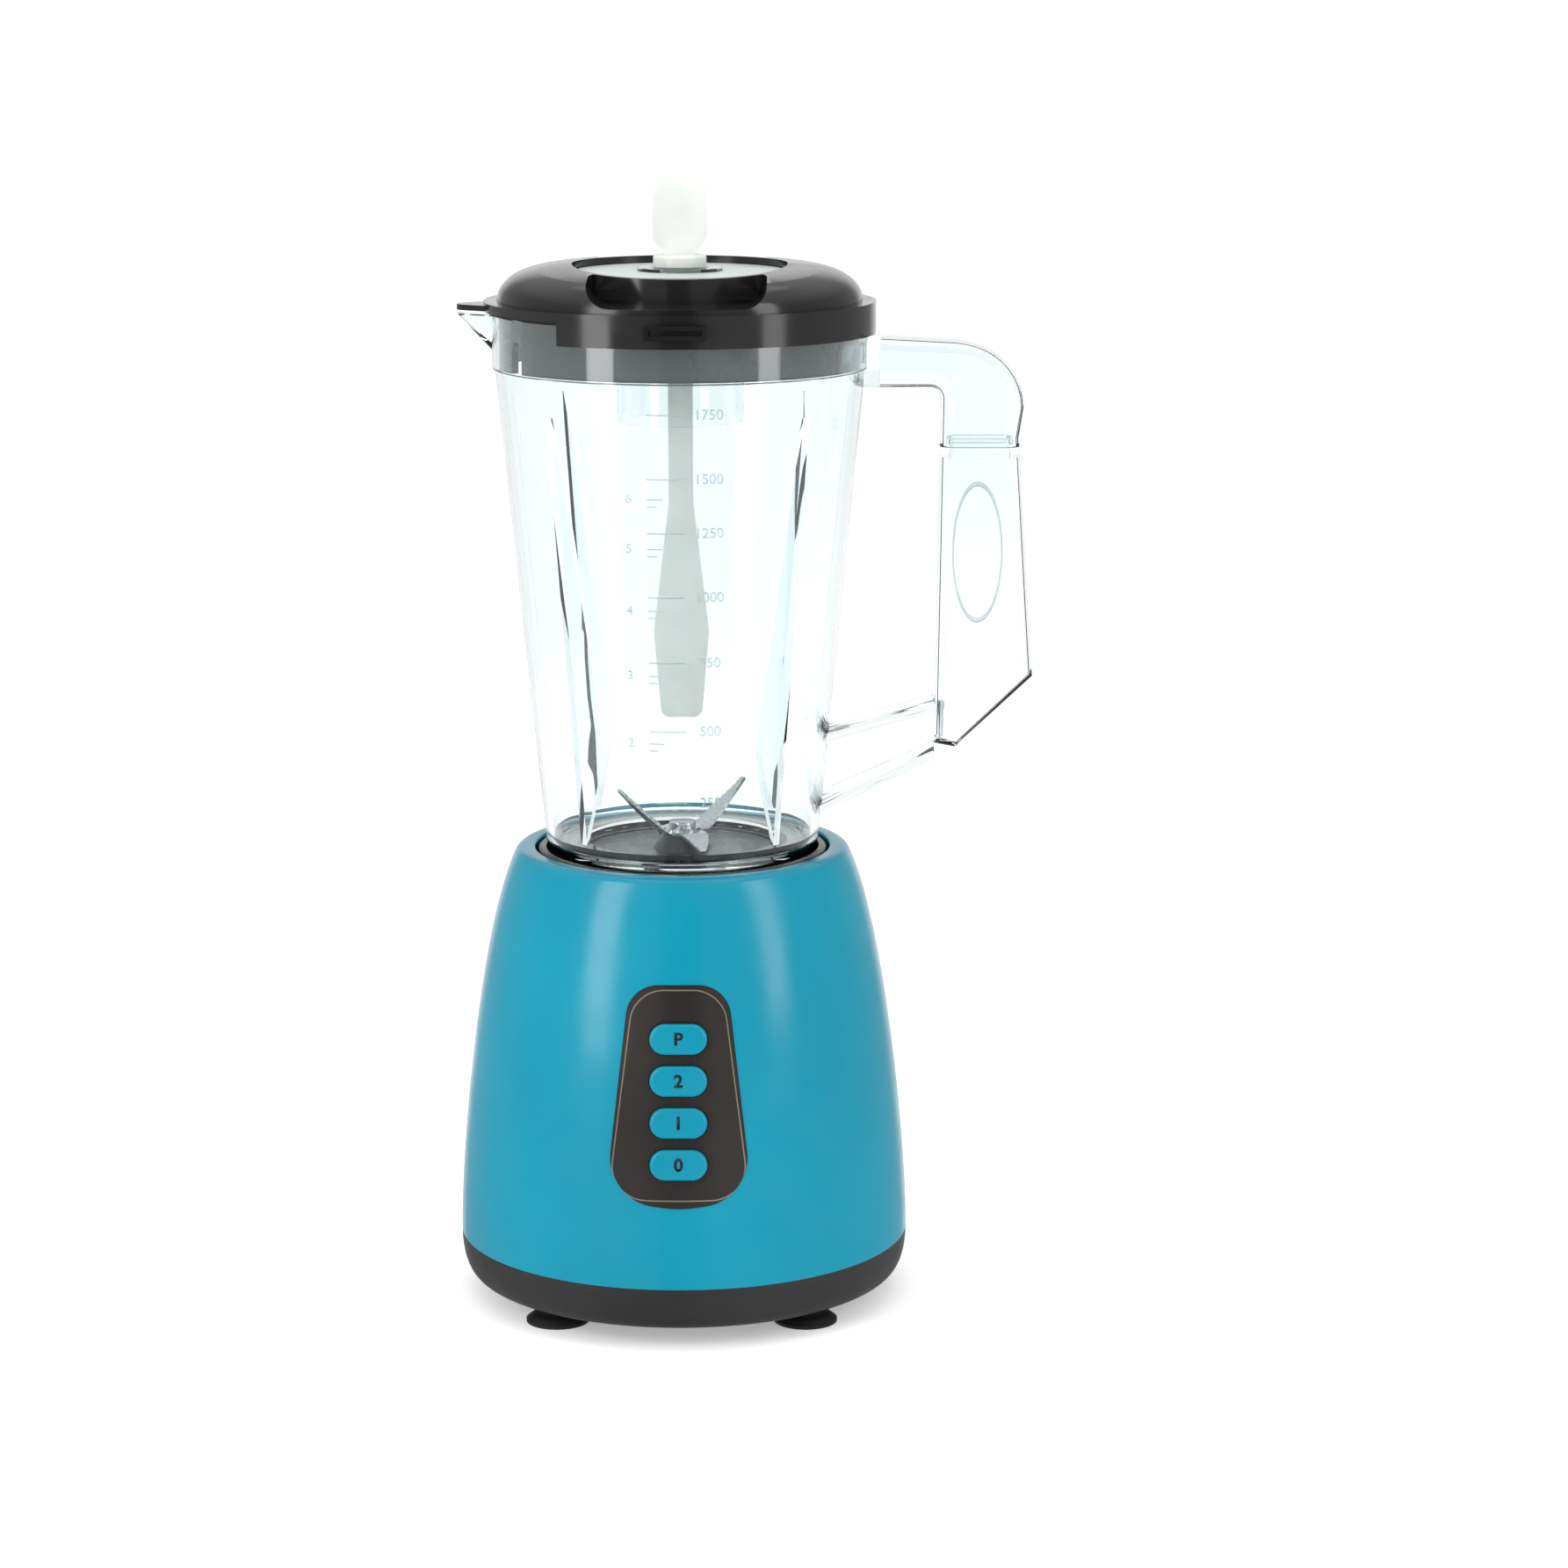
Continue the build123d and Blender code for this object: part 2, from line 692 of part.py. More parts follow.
# ---------------------------------------------------------------- motor
bracket_top = mount_low
bracket_low = bracket_top - bracket_thickness
coil_top = bracket_low - rotor_room
core_top = coil_top - coil_height
core_low = core_top - stator_height
coil_low = core_low - coil_height
plate_top = coil_low - rotor_room
plate_low = plate_top - bracket_thickness
commutator_top = coil_low - winding_room
commutator_low = commutator_top - commutator_height
winding_radius = armature_radius - winding_inset
bearing_low = commutator_low - commutator_room - bearing_height
fan_top = bearing_low - rotor_room
shaft_low = fan_top - fan_height - rotor_room
bearing_cup_radius = bearing_radius + bearing_cup_wall
post_circle = stator_width / sqrt(2) - post_inset
posts = PolarLocations(post_circle, 4, start_angle=45)
ears = PolarLocations(ear_radius, 4, start_angle=45)

# Two cast brackets hold the bearings and clamp the stator between their posts.
with BuildPart() as upper_bracket:
    with BuildSketch(Plane.XY.offset(bracket_low)):
        Circle(bearing_cup_radius + bracket_rim)
        with PolarLocations(ear_radius / 2, 4, start_angle=45):
            Rectangle(ear_radius, bracket_width * 0.7)
        with ears:
            Circle(mount_radius)
    extrude(amount=bracket_thickness)
    with BuildSketch(Plane.XY.offset(bracket_low)):
        Circle(bearing_cup_radius)
    extrude(amount=bearing_height + bearing_cup_floor)
    with BuildSketch(Plane.XY.offset(core_top)):
        with posts:
            Circle(post_radius)
    extrude(amount=bracket_low - core_top)
    with BuildSketch(Plane.XY.offset(bracket_low)):
        Circle(bearing_radius)
    extrude(amount=bearing_height, mode=Mode.SUBTRACT)
    with BuildSketch(Plane.XY.offset(core_top)):
        Circle(shaft_radius + shaft_room)
        with ears:
            Circle(stud_radius)
        with posts:
            Circle(screw_radius + fit_gap)
    extrude(amount=2 * motor_drop + coil_height, mode=Mode.SUBTRACT)
upper_bracket.part.label = "upper_bracket"
export_step(upper_bracket.part, "parts/upper_bracket.step")

leg_y = commutator_radius + brush_length
with BuildPart() as lower_bracket:
    with BuildSketch(Plane.XY.offset(plate_low)):
        Circle(leg_y + bracket_thickness)
        with PolarLocations(post_circle / 2, 4, start_angle=45):
            Rectangle(post_circle, bracket_width * 0.7)
        with posts:
            Circle(post_radius)
    extrude(amount=bracket_thickness)
    with BuildSketch(Plane.XY.offset(plate_low)):
        with posts:
            Circle(post_radius)
    extrude(amount=core_low - plate_low)
    with BuildSketch(Plane.XY.offset(bearing_low)):
        with Locations((0, leg_y), (0, -leg_y)):
            Rectangle(bracket_width, bracket_thickness)
    extrude(amount=plate_low - bearing_low)
    with BuildSketch(Plane.XY.offset(bearing_low)):
        Rectangle(bracket_width, 2 * leg_y)
    extrude(amount=bracket_thickness)
    with BuildSketch(Plane.XY.offset(bearing_low)):
        Circle(bearing_cup_radius)
    extrude(amount=bearing_height)
    with BuildSketch(Plane.XY.offset(bearing_low)):
        Circle(bearing_radius)
    extrude(amount=bearing_height, mode=Mode.SUBTRACT)
    with BuildSketch(Plane.XY.offset(plate_low)):
        Circle(commutator_radius + commutator_clear)
    extrude(amount=bracket_thickness, mode=Mode.SUBTRACT)
    with BuildSketch(Plane.XY.offset(plate_low)):
        with posts:
            Circle(screw_radius + fit_gap)
    extrude(amount=core_low - plate_low, mode=Mode.SUBTRACT)
lower_bracket.part.label = "lower_bracket"
export_step(lower_bracket.part, "parts/lower_bracket.step")

# Ball bearings, drawn as two rings and a cage between them.
for name, low in (("upper_bearing", bracket_low), ("lower_bearing", bearing_low)):
    inner = shaft_radius + bore_gap
    mid = (inner + bearing_radius) / 2
    with BuildPart() as bearing:
        add(turned(
            tube(inner, mid - 0.8, low, low + bearing_height),
            tube(mid + 0.8, bearing_radius, low, low + bearing_height),
            tube(mid - 0.9, mid + 0.9, low + 0.8, low + bearing_height - 0.8),
        ))
    bearing.part.label = name
    export_step(bearing.part, f"parts/{name}.step")

pole_width = 1.5 * armature_radius
coil_y = winding_radius + winding_gap
window_inner = pole_width / 2 - window_edge
window_outer = pole_width / 2 + coil_thickness + window_room
with BuildPart() as stator_core:
    with BuildSketch(Plane.XY.offset(core_low)) as lamination:
        Rectangle(stator_width, stator_width)
        fillet(lamination.vertices(), lamination_round)
        Circle(armature_radius + air_gap, mode=Mode.SUBTRACT)
        for side in (-1, 1):
            with Locations((side * (window_outer + window_inner) / 2, 0)):
                Rectangle(window_outer - window_inner, 2 * (coil_y + coil_thickness + 0.3),
                          mode=Mode.SUBTRACT)
        with posts:
            Circle(screw_radius + fit_gap, mode=Mode.SUBTRACT)
    extrude(amount=stator_height)
stator_core.part.label = "stator_core"
export_step(stator_core.part, "parts/stator_core.step")

with BuildPart() as field_coils:
    for side in (-1, 1):
        with BuildSketch(Plane.XZ.offset(side * coil_y)):
            with Locations((0, (core_low + core_top) / 2)):
                Rectangle(2 * (pole_width / 2 + coil_thickness), coil_top - coil_low)
                Rectangle(pole_width + 0.6, stator_height, mode=Mode.SUBTRACT)
        extrude(amount=side * coil_thickness)
    corners = field_coils.edges().filter_by(Axis.Y)
    fillet(corners.filter_by(lambda edge: abs(edge.center().X) > pole_width / 2 + 1.0), 2.0)
field_coils.part.label = "field_coils"
export_step(field_coils.part, "parts/field_coils.step")

with BuildPart() as motor_screws:
    length = bracket_top - plate_low
    for place in posts:
        x, y = place.position.X, place.position.Y
        add(Pos(x, y, plate_low) * screw(screw_radius, length, screw_head_radius, screw_head_height))
motor_screws.part.label = "motor_screws"
export_step(motor_screws.part, "parts/motor_screws.step")

# Rubber mounts hang the motor from the seat.  Each has a steel stud through its middle.
mount_top = seat_low - seat_pad
with BuildPart() as motor_mounts:
    for place in ears:
        centre = place.position
        with BuildSketch(Plane((centre.X, centre.Y, bracket_top))):
            Circle(mount_radius)
            Circle(stud_radius, mode=Mode.SUBTRACT)
        extrude(amount=mount_top - bracket_top)
motor_mounts.part.label = "motor_mounts"
export_step(motor_mounts.part, "parts/motor_mounts.step")

with BuildPart() as mount_studs:
    for place in ears:
        centre = place.position
        with BuildSketch(Plane((centre.X, centre.Y, bracket_low - 2.0))):
            Circle(stud_radius)
        extrude(amount=mount_top - bracket_low + 2.0)
        with BuildSketch(Plane((centre.X, centre.Y, bracket_low - 2.0))):
            RegularPolygon(2 * stud_radius, 6)
        extrude(amount=2.0)
mount_studs.part.label = "mount_studs"
export_step(mount_studs.part, "parts/mount_studs.step")

# Two carbon brushes press on the commutator from holders under the lower bracket's plate.
brush_height = brush_width + 2.0
brush_in = commutator_radius + seat_gap
holder_in = commutator_radius + commutator_clear
holder_z = plate_low - brush_height / 2 - brush_wall
with BuildPart() as brush_holders:
    for side in (-1, 1):
        with BuildSketch(Plane.YZ.offset(side * holder_in)):
            with Locations((0, holder_z)):
                Rectangle(brush_width + 2 * brush_wall, brush_height + 2 * brush_wall)
                Rectangle(brush_width, brush_height, mode=Mode.SUBTRACT)
        extrude(amount=side * (brush_length + 6.0))
brush_holders.part.label = "brush_holders"
export_step(brush_holders.part, "parts/brush_holders.step")

with BuildPart() as carbon_brushes:
    for side in (-1, 1):
        with BuildSketch(Plane.YZ.offset(side * brush_in)):
            with Locations((0, holder_z)):
                Rectangle(brush_width, brush_height)
        extrude(amount=side * brush_length)
carbon_brushes.part.label = "carbon_brushes"
export_step(carbon_brushes.part, "parts/carbon_brushes.step")

# The rotor: shaft, laminated core, windings, commutator, fan and the drive coupling.
dog_low = seat_z + dog_float
dog_top = dog_low + dog_height
with BuildPart() as motor_shaft:
    add(turned(tube(0, shaft_radius, shaft_low, dog_top - 1.5)))
    chamfer(motor_shaft.edges(), 0.4)
motor_shaft.part.label = "motor_shaft"
export_step(motor_shaft.part, "parts/motor_shaft.step")

with BuildPart() as armature_core:
    with BuildSketch(Plane.XY.offset(core_low)):
        Circle(armature_radius)
        Circle(shaft_radius, mode=Mode.SUBTRACT)
        with PolarLocations(armature_radius - core_slot_depth, core_slots):
            SlotOverall(core_slot_length, core_slot_width, mode=Mode.SUBTRACT)
        with PolarLocations(armature_radius, core_slots):
            Rectangle(3.0, 1.2, mode=Mode.SUBTRACT)
    extrude(amount=stator_height)
armature_core.part.label = "armature_core"
export_step(armature_core.part, "parts/armature_core.step")

with BuildPart() as armature_windings:
    head = coil_height - 1.0
    for low, high in ((core_top, core_top + head), (core_low - head, core_low)):
        with BuildSketch(Plane.XY.offset(low)):
            Circle(winding_radius)
            Circle(shaft_radius, mode=Mode.SUBTRACT)
        extrude(amount=high - low)
    fillet(armature_windings.edges().filter_by(GeomType.CIRCLE).filter_by(
        lambda edge: edge.radius > winding_radius - 1.0).sort_by(Axis.Z)[0::3], 3.0)
armature_windings.part.label = "armature_windings"
export_step(armature_windings.part, "parts/armature_windings.step")

with BuildPart() as commutator:
    with BuildSketch(Plane.XY.offset(commutator_low)):
        Circle(commutator_radius)
        Circle(shaft_radius, mode=Mode.SUBTRACT)
        with PolarLocations(commutator_radius, commutator_bars):
            Rectangle(1.6, 0.5, mode=Mode.SUBTRACT)
    extrude(amount=commutator_height - 0.5)
commutator.part.label = "commutator"
export_step(commutator.part, "parts/commutator.step")

with BuildPart() as cooling_fan:
    with BuildSketch(Plane.XY.offset(fan_top - fan_disc)):
        Circle(fan_radius)
    extrude(amount=fan_disc)
    with BuildSketch(Plane.XY.offset(fan_top - fan_height)):
        Circle(shaft_radius + fan_hub_wall)
        with PolarLocations((fan_radius + shaft_radius) / 2 + 2.0, fan_blades):
            Rectangle(fan_radius - shaft_radius - 6.0, fan_blade_thickness, rotation=12.0)
    extrude(amount=fan_height - 1.0)
    with BuildSketch(Plane.XY.offset(fan_top - fan_height)):
        Circle(shaft_radius)
    extrude(amount=fan_height, mode=Mode.SUBTRACT)
cooling_fan.part.label = "cooling_fan"
export_step(cooling_fan.part, "parts/cooling_fan.step")


def dog_outline(grow):
    """The toothed outline of the drive coupling, moved out by grow."""
    with BuildSketch(Plane.XY, mode=Mode.PRIVATE) as outline:
        Circle(dog_root_radius + grow)
        reach = dog_tip_radius + grow
        with PolarLocations(reach / 2, dog_count):
            Rectangle(reach, dog_root_radius * 0.55 + 2 * grow)
    return outline.sketch


with BuildPart() as drive_coupling:
    add(turned(
        tube(shaft_radius, shaft_radius + 4.0, seat_low - 2.0, dog_low),
        tube(shaft_radius, dog_base_radius, dog_low - 2.4, dog_low),
    ))
    extrude(Plane.XY.offset(dog_low) * dog_outline(0), amount=dog_height)
    with BuildSketch(Plane.XY.offset(dog_low)):
        Circle(shaft_radius)
    extrude(amount=dog_height, mode=Mode.SUBTRACT)
drive_coupling.part.label = "drive_coupling"
export_step(drive_coupling.part, "parts/drive_coupling.step")

# ---------------------------------------------------------------- blade base and blades
web_low = ring_z + web_rise
web_top = web_low + pan_wall
pan_top = web_low + pan_height
neck_low = web_top + gasket_thickness
hub_top = pan_top + hub_height
bush_top = hub_top - seal_height
bush_low = bush_top - bush_length
bush_radius = shaft_radius + bush_wall
hub_low = bush_low - hub_lip
collar_inner = neck_radius + thread_height + fit_gap

# The blade base is a ring that stands in the seat, with a threaded collar for the jug's
# neck, a raised pan that closes the jug's floor and a hub for the shaft.
with BuildPart() as blade_base:
    add(turned(
        tube(ring_radius - ring_wall, ring_radius, ring_z, ring_z + ring_height),
        tube(pan_radius - pan_wall, ring_radius, web_low, web_top),
        tube(collar_inner, collar_inner + collar_wall, web_low, ring_z + ring_height - 1.5),
        tube(pan_radius - pan_wall, pan_radius, web_low, pan_top),
        tube(bush_radius, pan_radius, pan_top - pan_wall, pan_top),
        [(bush_radius, hub_low), (bush_radius + 2.0, hub_low), (hub_radius, pan_top - pan_wall),
         (hub_radius, pan_top), (hub_top_radius, hub_top), (bush_radius, hub_top)],
    ))
    rim = blade_base.edges().filter_by(GeomType.CIRCLE).filter_by(
        lambda edge: edge.radius > ring_radius - 0.1).sort_by(Axis.Z)
    fillet(rim[-1], ring_round)
    with BuildSketch(Plane.XY.offset(web_low)):
        with PolarLocations((pan_radius + ring_radius - ring_wall) / 2, 12):
            Rectangle(ring_radius - ring_wall - pan_radius + weld, web_rib)
    extrude(amount=-web_rib_depth)
    with BuildSketch(Plane.XY.offset(ring_z)):
        with PolarLocations(ring_radius - ring_wall / 2, 4, start_angle=45):
            Rectangle(2 * ring_wall, lug_width + 2 * dog_gap)
    extrude(amount=lug_height + dog_gap, mode=Mode.SUBTRACT)
blade_base.part.label = "blade_base"
export_step(blade_base.part, "parts/blade_base.step")

with BuildPart() as base_gasket:
    add(turned(tube(pan_radius + fit_gap, collar_inner - fit_gap, web_top, neck_low)))
base_gasket.part.label = "base_gasket"
export_step(base_gasket.part, "parts/base_gasket.step")

with BuildPart() as shaft_bush:
    add(turned(tube(shaft_radius + bore_gap, bush_radius, bush_low, bush_top)))
shaft_bush.part.label = "shaft_bush"
export_step(shaft_bush.part, "parts/shaft_bush.step")

with BuildPart() as shaft_seal:
    add(turned(tube(shaft_radius + bore_gap, bush_radius, bush_top, hub_top)))
shaft_seal.part.label = "shaft_seal"
export_step(shaft_seal.part, "parts/shaft_seal.step")

# The driven coupling is a socket under the pan that drops over the motor's coupling.
socket_low = dog_low + 2 * seat_gap
socket_top = dog_top + 2 * seat_gap
driven_top = socket_top + socket_cap
with BuildPart() as driven_coupling:
    with BuildSketch(Plane.XY.offset(socket_low)):
        Circle(dog_tip_radius + dog_gap + socket_wall)
    extrude(amount=driven_top - socket_low)
    extrude(Plane.XY.offset(socket_low) * dog_outline(dog_gap), amount=socket_top - socket_low,
            mode=Mode.SUBTRACT)
    with BuildSketch(Plane.XY.offset(socket_top)):
        Circle(shaft_radius)
    extrude(amount=socket_cap, mode=Mode.SUBTRACT)
driven_coupling.part.label = "driven_coupling"
export_step(driven_coupling.part, "parts/driven_coupling.step")

lower_blade_z = hub_top + blade_float
upper_blade_z = lower_blade_z + blade_thickness
nut_low = upper_blade_z + blade_thickness
nut_top = nut_low + nut_height
nut_radius = shaft_radius + nut_rim
with BuildPart() as blade_shaft:
    add(turned(tube(0, shaft_radius, socket_top, nut_low)))
blade_shaft.part.label = "blade_shaft"
export_step(blade_shaft.part, "parts/blade_shaft.step")


def radial_plane(azimuth):
    """An upright plane through the axis whose x points outward at an azimuth."""
    a = radians(azimuth)
    return Plane((0, 0, 0), x_dir=(cos(a), sin(a), 0), z_dir=(sin(a), -cos(a), 0))


def blade(low, reach, rise, azimuth):
    """Two opposite wings, flat at the hub and bent up or down further out to a point."""
    bend = blade_hub_radius + 1.5
    slope = rise / (reach - bend)
    step = blade_thickness * hypot(1, slope)
    edge = blade_width / 2
    with BuildPart(mode=Mode.PRIVATE) as wings:
        with BuildSketch(Plane.XY.offset(low)):
            Circle(blade_hub_radius)
        extrude(amount=blade_thickness)
        for turn in (azimuth, azimuth + 180):
            side = radial_plane(turn)
            with BuildPart(mode=Mode.PRIVATE) as wing:
                with BuildSketch(side):
                    with BuildLine():
                        Polyline((0, low), (bend, low), (reach, low + rise),
                                 (reach, low + rise + step), (bend, low + blade_thickness),
                                 (0, low + blade_thickness), close=True)
                    make_face()
                extrude(amount=edge, both=True)
                with BuildPart(mode=Mode.PRIVATE) as outline:
                    with BuildSketch(Plane((0, 0, low - reach), side.x_dir, (0, 0, 1))):
                        with BuildLine():
                            Polyline((0, -edge), (bend, -edge), (reach, edge * 0.5),
                                     (reach, edge * 0.8), (bend, edge), (0, edge), close=True)
                        make_face()
                    extrude(amount=3 * reach)
                add(outline.part, mode=Mode.INTERSECT)
            add(wing.part)
        with BuildSketch(Plane.XY.offset(low)):
            Circle(shaft_radius + fit_gap)
        extrude(amount=blade_thickness, mode=Mode.SUBTRACT)
    return wings.part


with BuildPart() as lower_blade:
    add(blade(lower_blade_z, lower_reach, -lower_drop, lower_azimuth))
lower_blade.part.label = "lower_blade"
export_step(lower_blade.part, "parts/lower_blade.step")

with BuildPart() as upper_blade:
    add(blade(upper_blade_z, upper_reach, upper_rise, upper_azimuth))
upper_blade.part.label = "upper_blade"
export_step(upper_blade.part, "parts/upper_blade.step")

with BuildPart() as blade_nut:
    with BuildSketch(Plane.XY.offset(nut_low)):
        Circle(nut_radius)
    extrude(amount=nut_height)
    fillet(blade_nut.edges().group_by(Axis.Z)[-1], 0.9)
    with BuildSketch(Plane.XY.offset(nut_top)):
        Rectangle(2 * nut_radius, nut_slot_width)
    extrude(amount=-nut_slot_depth, mode=Mode.SUBTRACT)
blade_nut.part.label = "blade_nut"
export_step(blade_nut.part, "parts/blade_nut.step")

# ---------------------------------------------------------------- jug and handle
wall_low = jug_z + jug_foot_bevel


def jug_radius(z):
    """The jug's outer radius below the rim collar."""
    return mix(jug_bottom_radius, jug_top_radius, (z - wall_low) / (step_z - wall_low))


def jug_profile(inset, low):
    """Outline of the jug's body, moved in by an inset, from a level up to the rim."""
    return [
        (0, low), (jug_bottom_radius - inset - jug_foot_bevel, low),
        (jug_bottom_radius - inset, low + jug_foot_bevel),
        (jug_top_radius - inset, step_z), (rim_radius - inset, step_z + rim_step / 2),
        (rim_radius - inset, rim_z), (0, rim_z),
    ]


spout_tip = rim_radius + spout_reach


def beak(inset):
    """The spout as a loft from a small hull on the wall to a longer one at the rim."""
    low = rim_z - spout_drop
    with BuildPart(mode=Mode.PRIVATE) as body:
        with BuildSketch(Plane.XY.offset(low + inset)):
            with Locations((-spout_tip + spout_drop + spout_foot_set, 0)):
                Circle(spout_foot_radius - inset)
            with Locations((-rim_radius + spout_root_radius, 0)):
                Circle(spout_root_radius / 2 - inset)
            make_hull()
        with BuildSketch(Plane.XY.offset(rim_z)):
            with Locations((-spout_tip + spout_tip_radius, 0)):
                Circle(spout_tip_radius - inset)
            with Locations((-rim_radius + spout_root_radius + spout_flare, 0)):
                Circle(spout_root_radius - inset)
            make_hull()
        loft()
    return body.part


arm_top = rim_z - arm_drop
arm_low = arm_top - arm_thickness
sleeve_z = rim_z - sleeve_drop
arm_end = rim_radius + arm_reach
grip_inner = rim_radius + grip_reach_inside
grip_foot_inner = rim_radius + grip_foot_reach
grip_outer = rim_radius + grip_reach_outside
grip_foot_z = jug_z + grip_foot_rise
grip_heel_z = jug_z + grip_heel_rise
strut_root_z = jug_z + strut_root_rise
strut_grip_z = jug_z + strut_grip_rise
sill_root_z = jug_z + sill_root_rise
sill_grip_z = jug_z + sill_grip_rise


def handle_solid(inset, edge_round):
    """The handle from the side, moved in by an inset, as a bar with rounded edges."""
    elbow = mix(rim_radius, arm_end, 0.55)
    top, reach, root = arm_top - inset, arm_end - inset, rim_radius - arm_root_sunk
    with BuildPart(mode=Mode.PRIVATE) as body:
        with BuildSketch(Plane.XZ) as side:
            with BuildLine():
                arm = Line((root, top), (elbow, top - 2.0))
                bend = Bezier(arm @ 1, (elbow + 16.0, top - 3.5), (reach, top - 14.0),
                              (reach, arm_top - 27.0))
                Polyline(
                    bend @ 1,
                    (reach - 1.8, sleeve_z + 3.0),
                    (grip_outer - inset, grip_heel_z + 0.5 * inset),
                    (grip_foot_inner + 8.0, grip_foot_z + 1.3 * inset),
                    (grip_foot_inner + inset, grip_foot_z + 1.5 + inset),
                    (grip_inner + inset, arm_low + inset),
                    (root, arm_low + inset),
                    arm @ 0,
                )
            make_face()
            fillet(side.vertices().sort_by_distance((grip_inner, arm_low, 0))[0], 4.0 + inset)
        extrude(amount=handle_depth / 2 - inset, both=True)
        fillet(body.faces().filter_by(Axis.Y).edges(), edge_round)
    return body.part


handle_outer = handle_solid(0, handle_round)
handle_inner = handle_solid(handle_wall, handle_round - handle_wall)


def inside_jug():
    """The space inside the jug, from its floor up past the rim."""
    with BuildPart(mode=Mode.PRIVATE) as body:
        add(turned(jug_profile(jug_wall, floor_z)))
        with BuildSketch(Plane.XY.offset(rim_z)):
            Circle(rim_radius - jug_wall)
        extrude(amount=10.0)
    return body.part


def flat_bar(corners, thickness):
    """A plate in the handle's plane, from its four corners seen from the side."""
    with BuildPart(mode=Mode.PRIVATE) as body:
        with BuildSketch(Plane.XZ):
            with BuildLine():
                Polyline(*corners, close=True)
            make_face()
        extrude(amount=thickness / 2, both=True)
    return body.part


def fin(azimuth):
    """One upright fin on the jug's wall, deepest low down and fading out towards its top."""
    low, peak, high = floor_z + fin_low, floor_z + fin_peak, step_z - fin_drop
    shoulder = high - fin_tip_drop
    side = radial_plane(azimuth)
    with BuildPart(mode=Mode.PRIVATE) as body:
        with BuildSketch(side):
            with BuildLine():
                Polyline(
                    (jug_radius(low) - jug_wall + weld, low),
                    (jug_radius(low) - jug_wall - 1.0, low),
                    (jug_radius(peak) - jug_wall - fin_depth, peak),
                    (jug_radius(shoulder) - jug_wall - fin_tip_depth, shoulder),
                    (jug_radius(high) - jug_wall - 0.5, high),
                    (jug_radius(high) - jug_wall + weld, high),
                    close=True,
                )
            make_face()
        extrude(amount=fin_thickness / 2, both=True)
    return body.part


# The clear jug: a tapering wall with a wider rim collar, a floor with a round hole, a
# threaded neck below it, four fins inside and a spout.
with BuildPart() as jug:
    add(turned(jug_profile(0, jug_z)))
    add(beak(0))
    add(inside_jug(), mode=Mode.SUBTRACT)
    add(beak(jug_wall), mode=Mode.SUBTRACT)
    with BuildSketch(Plane.XY.offset(jug_z)):
        Circle(jug_hole_radius)
    extrude(amount=jug_floor, mode=Mode.SUBTRACT)
    for i in range(fin_count):
        add(fin(45 + i * 360 / fin_count))
    threads = [
        tube(neck_radius - weld, neck_radius + thread_height, z, z + thread_width)
        for z in (neck_low + thread_start, neck_low + thread_start + thread_pitch)
    ]
    add(turned(tube(jug_hole_radius, neck_radius, neck_low, jug_z + weld), *threads))
jug.part.label = "jug"
export_step(jug.part, "parts/jug.step")

# The handle's arm is a hollow elbow whose thick root plate is cemented to the rim collar.
jug_outside = turned(jug_profile(-cement_gap, jug_z))
with BuildPart() as handle_arm:
    add(handle_outer)
    split(bisect_by=Plane.XY.offset(sleeve_z), keep=Keep.TOP)
    with BuildPart(mode=Mode.PRIVATE) as arm_space:
        add(handle_inner)
        with BuildSketch(Plane.XY.offset(grip_foot_z)):
            Circle(rim_radius + arm_root_plate)
        extrude(amount=jug_height, mode=Mode.SUBTRACT)
    add(arm_space.part, mode=Mode.SUBTRACT)
    add(jug_outside, mode=Mode.SUBTRACT)
handle_arm.part.label = "handle_arm"
export_step(handle_arm.part, "parts/handle_arm.step")

# The bridge ties the jug's wall to the foot of the grip: two sloping plates with a web.
strut_half = strut_thickness / 2
grip_sunk = grip_inner + grip_sunk_depth
with BuildPart() as handle_bridge:
    root = jug_radius(strut_root_z) - strut_root_sunk
    sill_root = jug_radius(sill_root_z) - strut_root_sunk
    add(flat_bar([
        (root, strut_root_z - strut_half), (root, strut_root_z + strut_half),
        (grip_sunk, strut_grip_z + strut_half), (grip_sunk, strut_grip_z - strut_half),
    ], handle_depth))
    add(flat_bar([
        (sill_root, sill_root_z - strut_half), (sill_root, sill_root_z + strut_half),
        (grip_sunk, sill_grip_z + strut_half), (grip_sunk, sill_grip_z - strut_half),
    ], handle_depth))
    add(flat_bar([
        (sill_root, sill_root_z), (root, strut_root_z),
        (grip_sunk, strut_grip_z), (grip_sunk, sill_grip_z),
    ], web_thickness))
    add(handle_outer, mode=Mode.SUBTRACT)
    with BuildSketch(Plane.XZ.offset(-handle_depth)):
        with Locations((grip_foot_inner + handle_depth, (strut_grip_z + sill_grip_z) / 2)):
            Rectangle(2 * handle_depth - 2 * fit_gap, 3 * (strut_grip_z - sill_grip_z))
    extrude(amount=2 * handle_depth, mode=Mode.SUBTRACT)
    add(jug_outside, mode=Mode.SUBTRACT)
handle_bridge.part.label = "handle_bridge"
export_step(handle_bridge.part, "parts/handle_bridge.step")

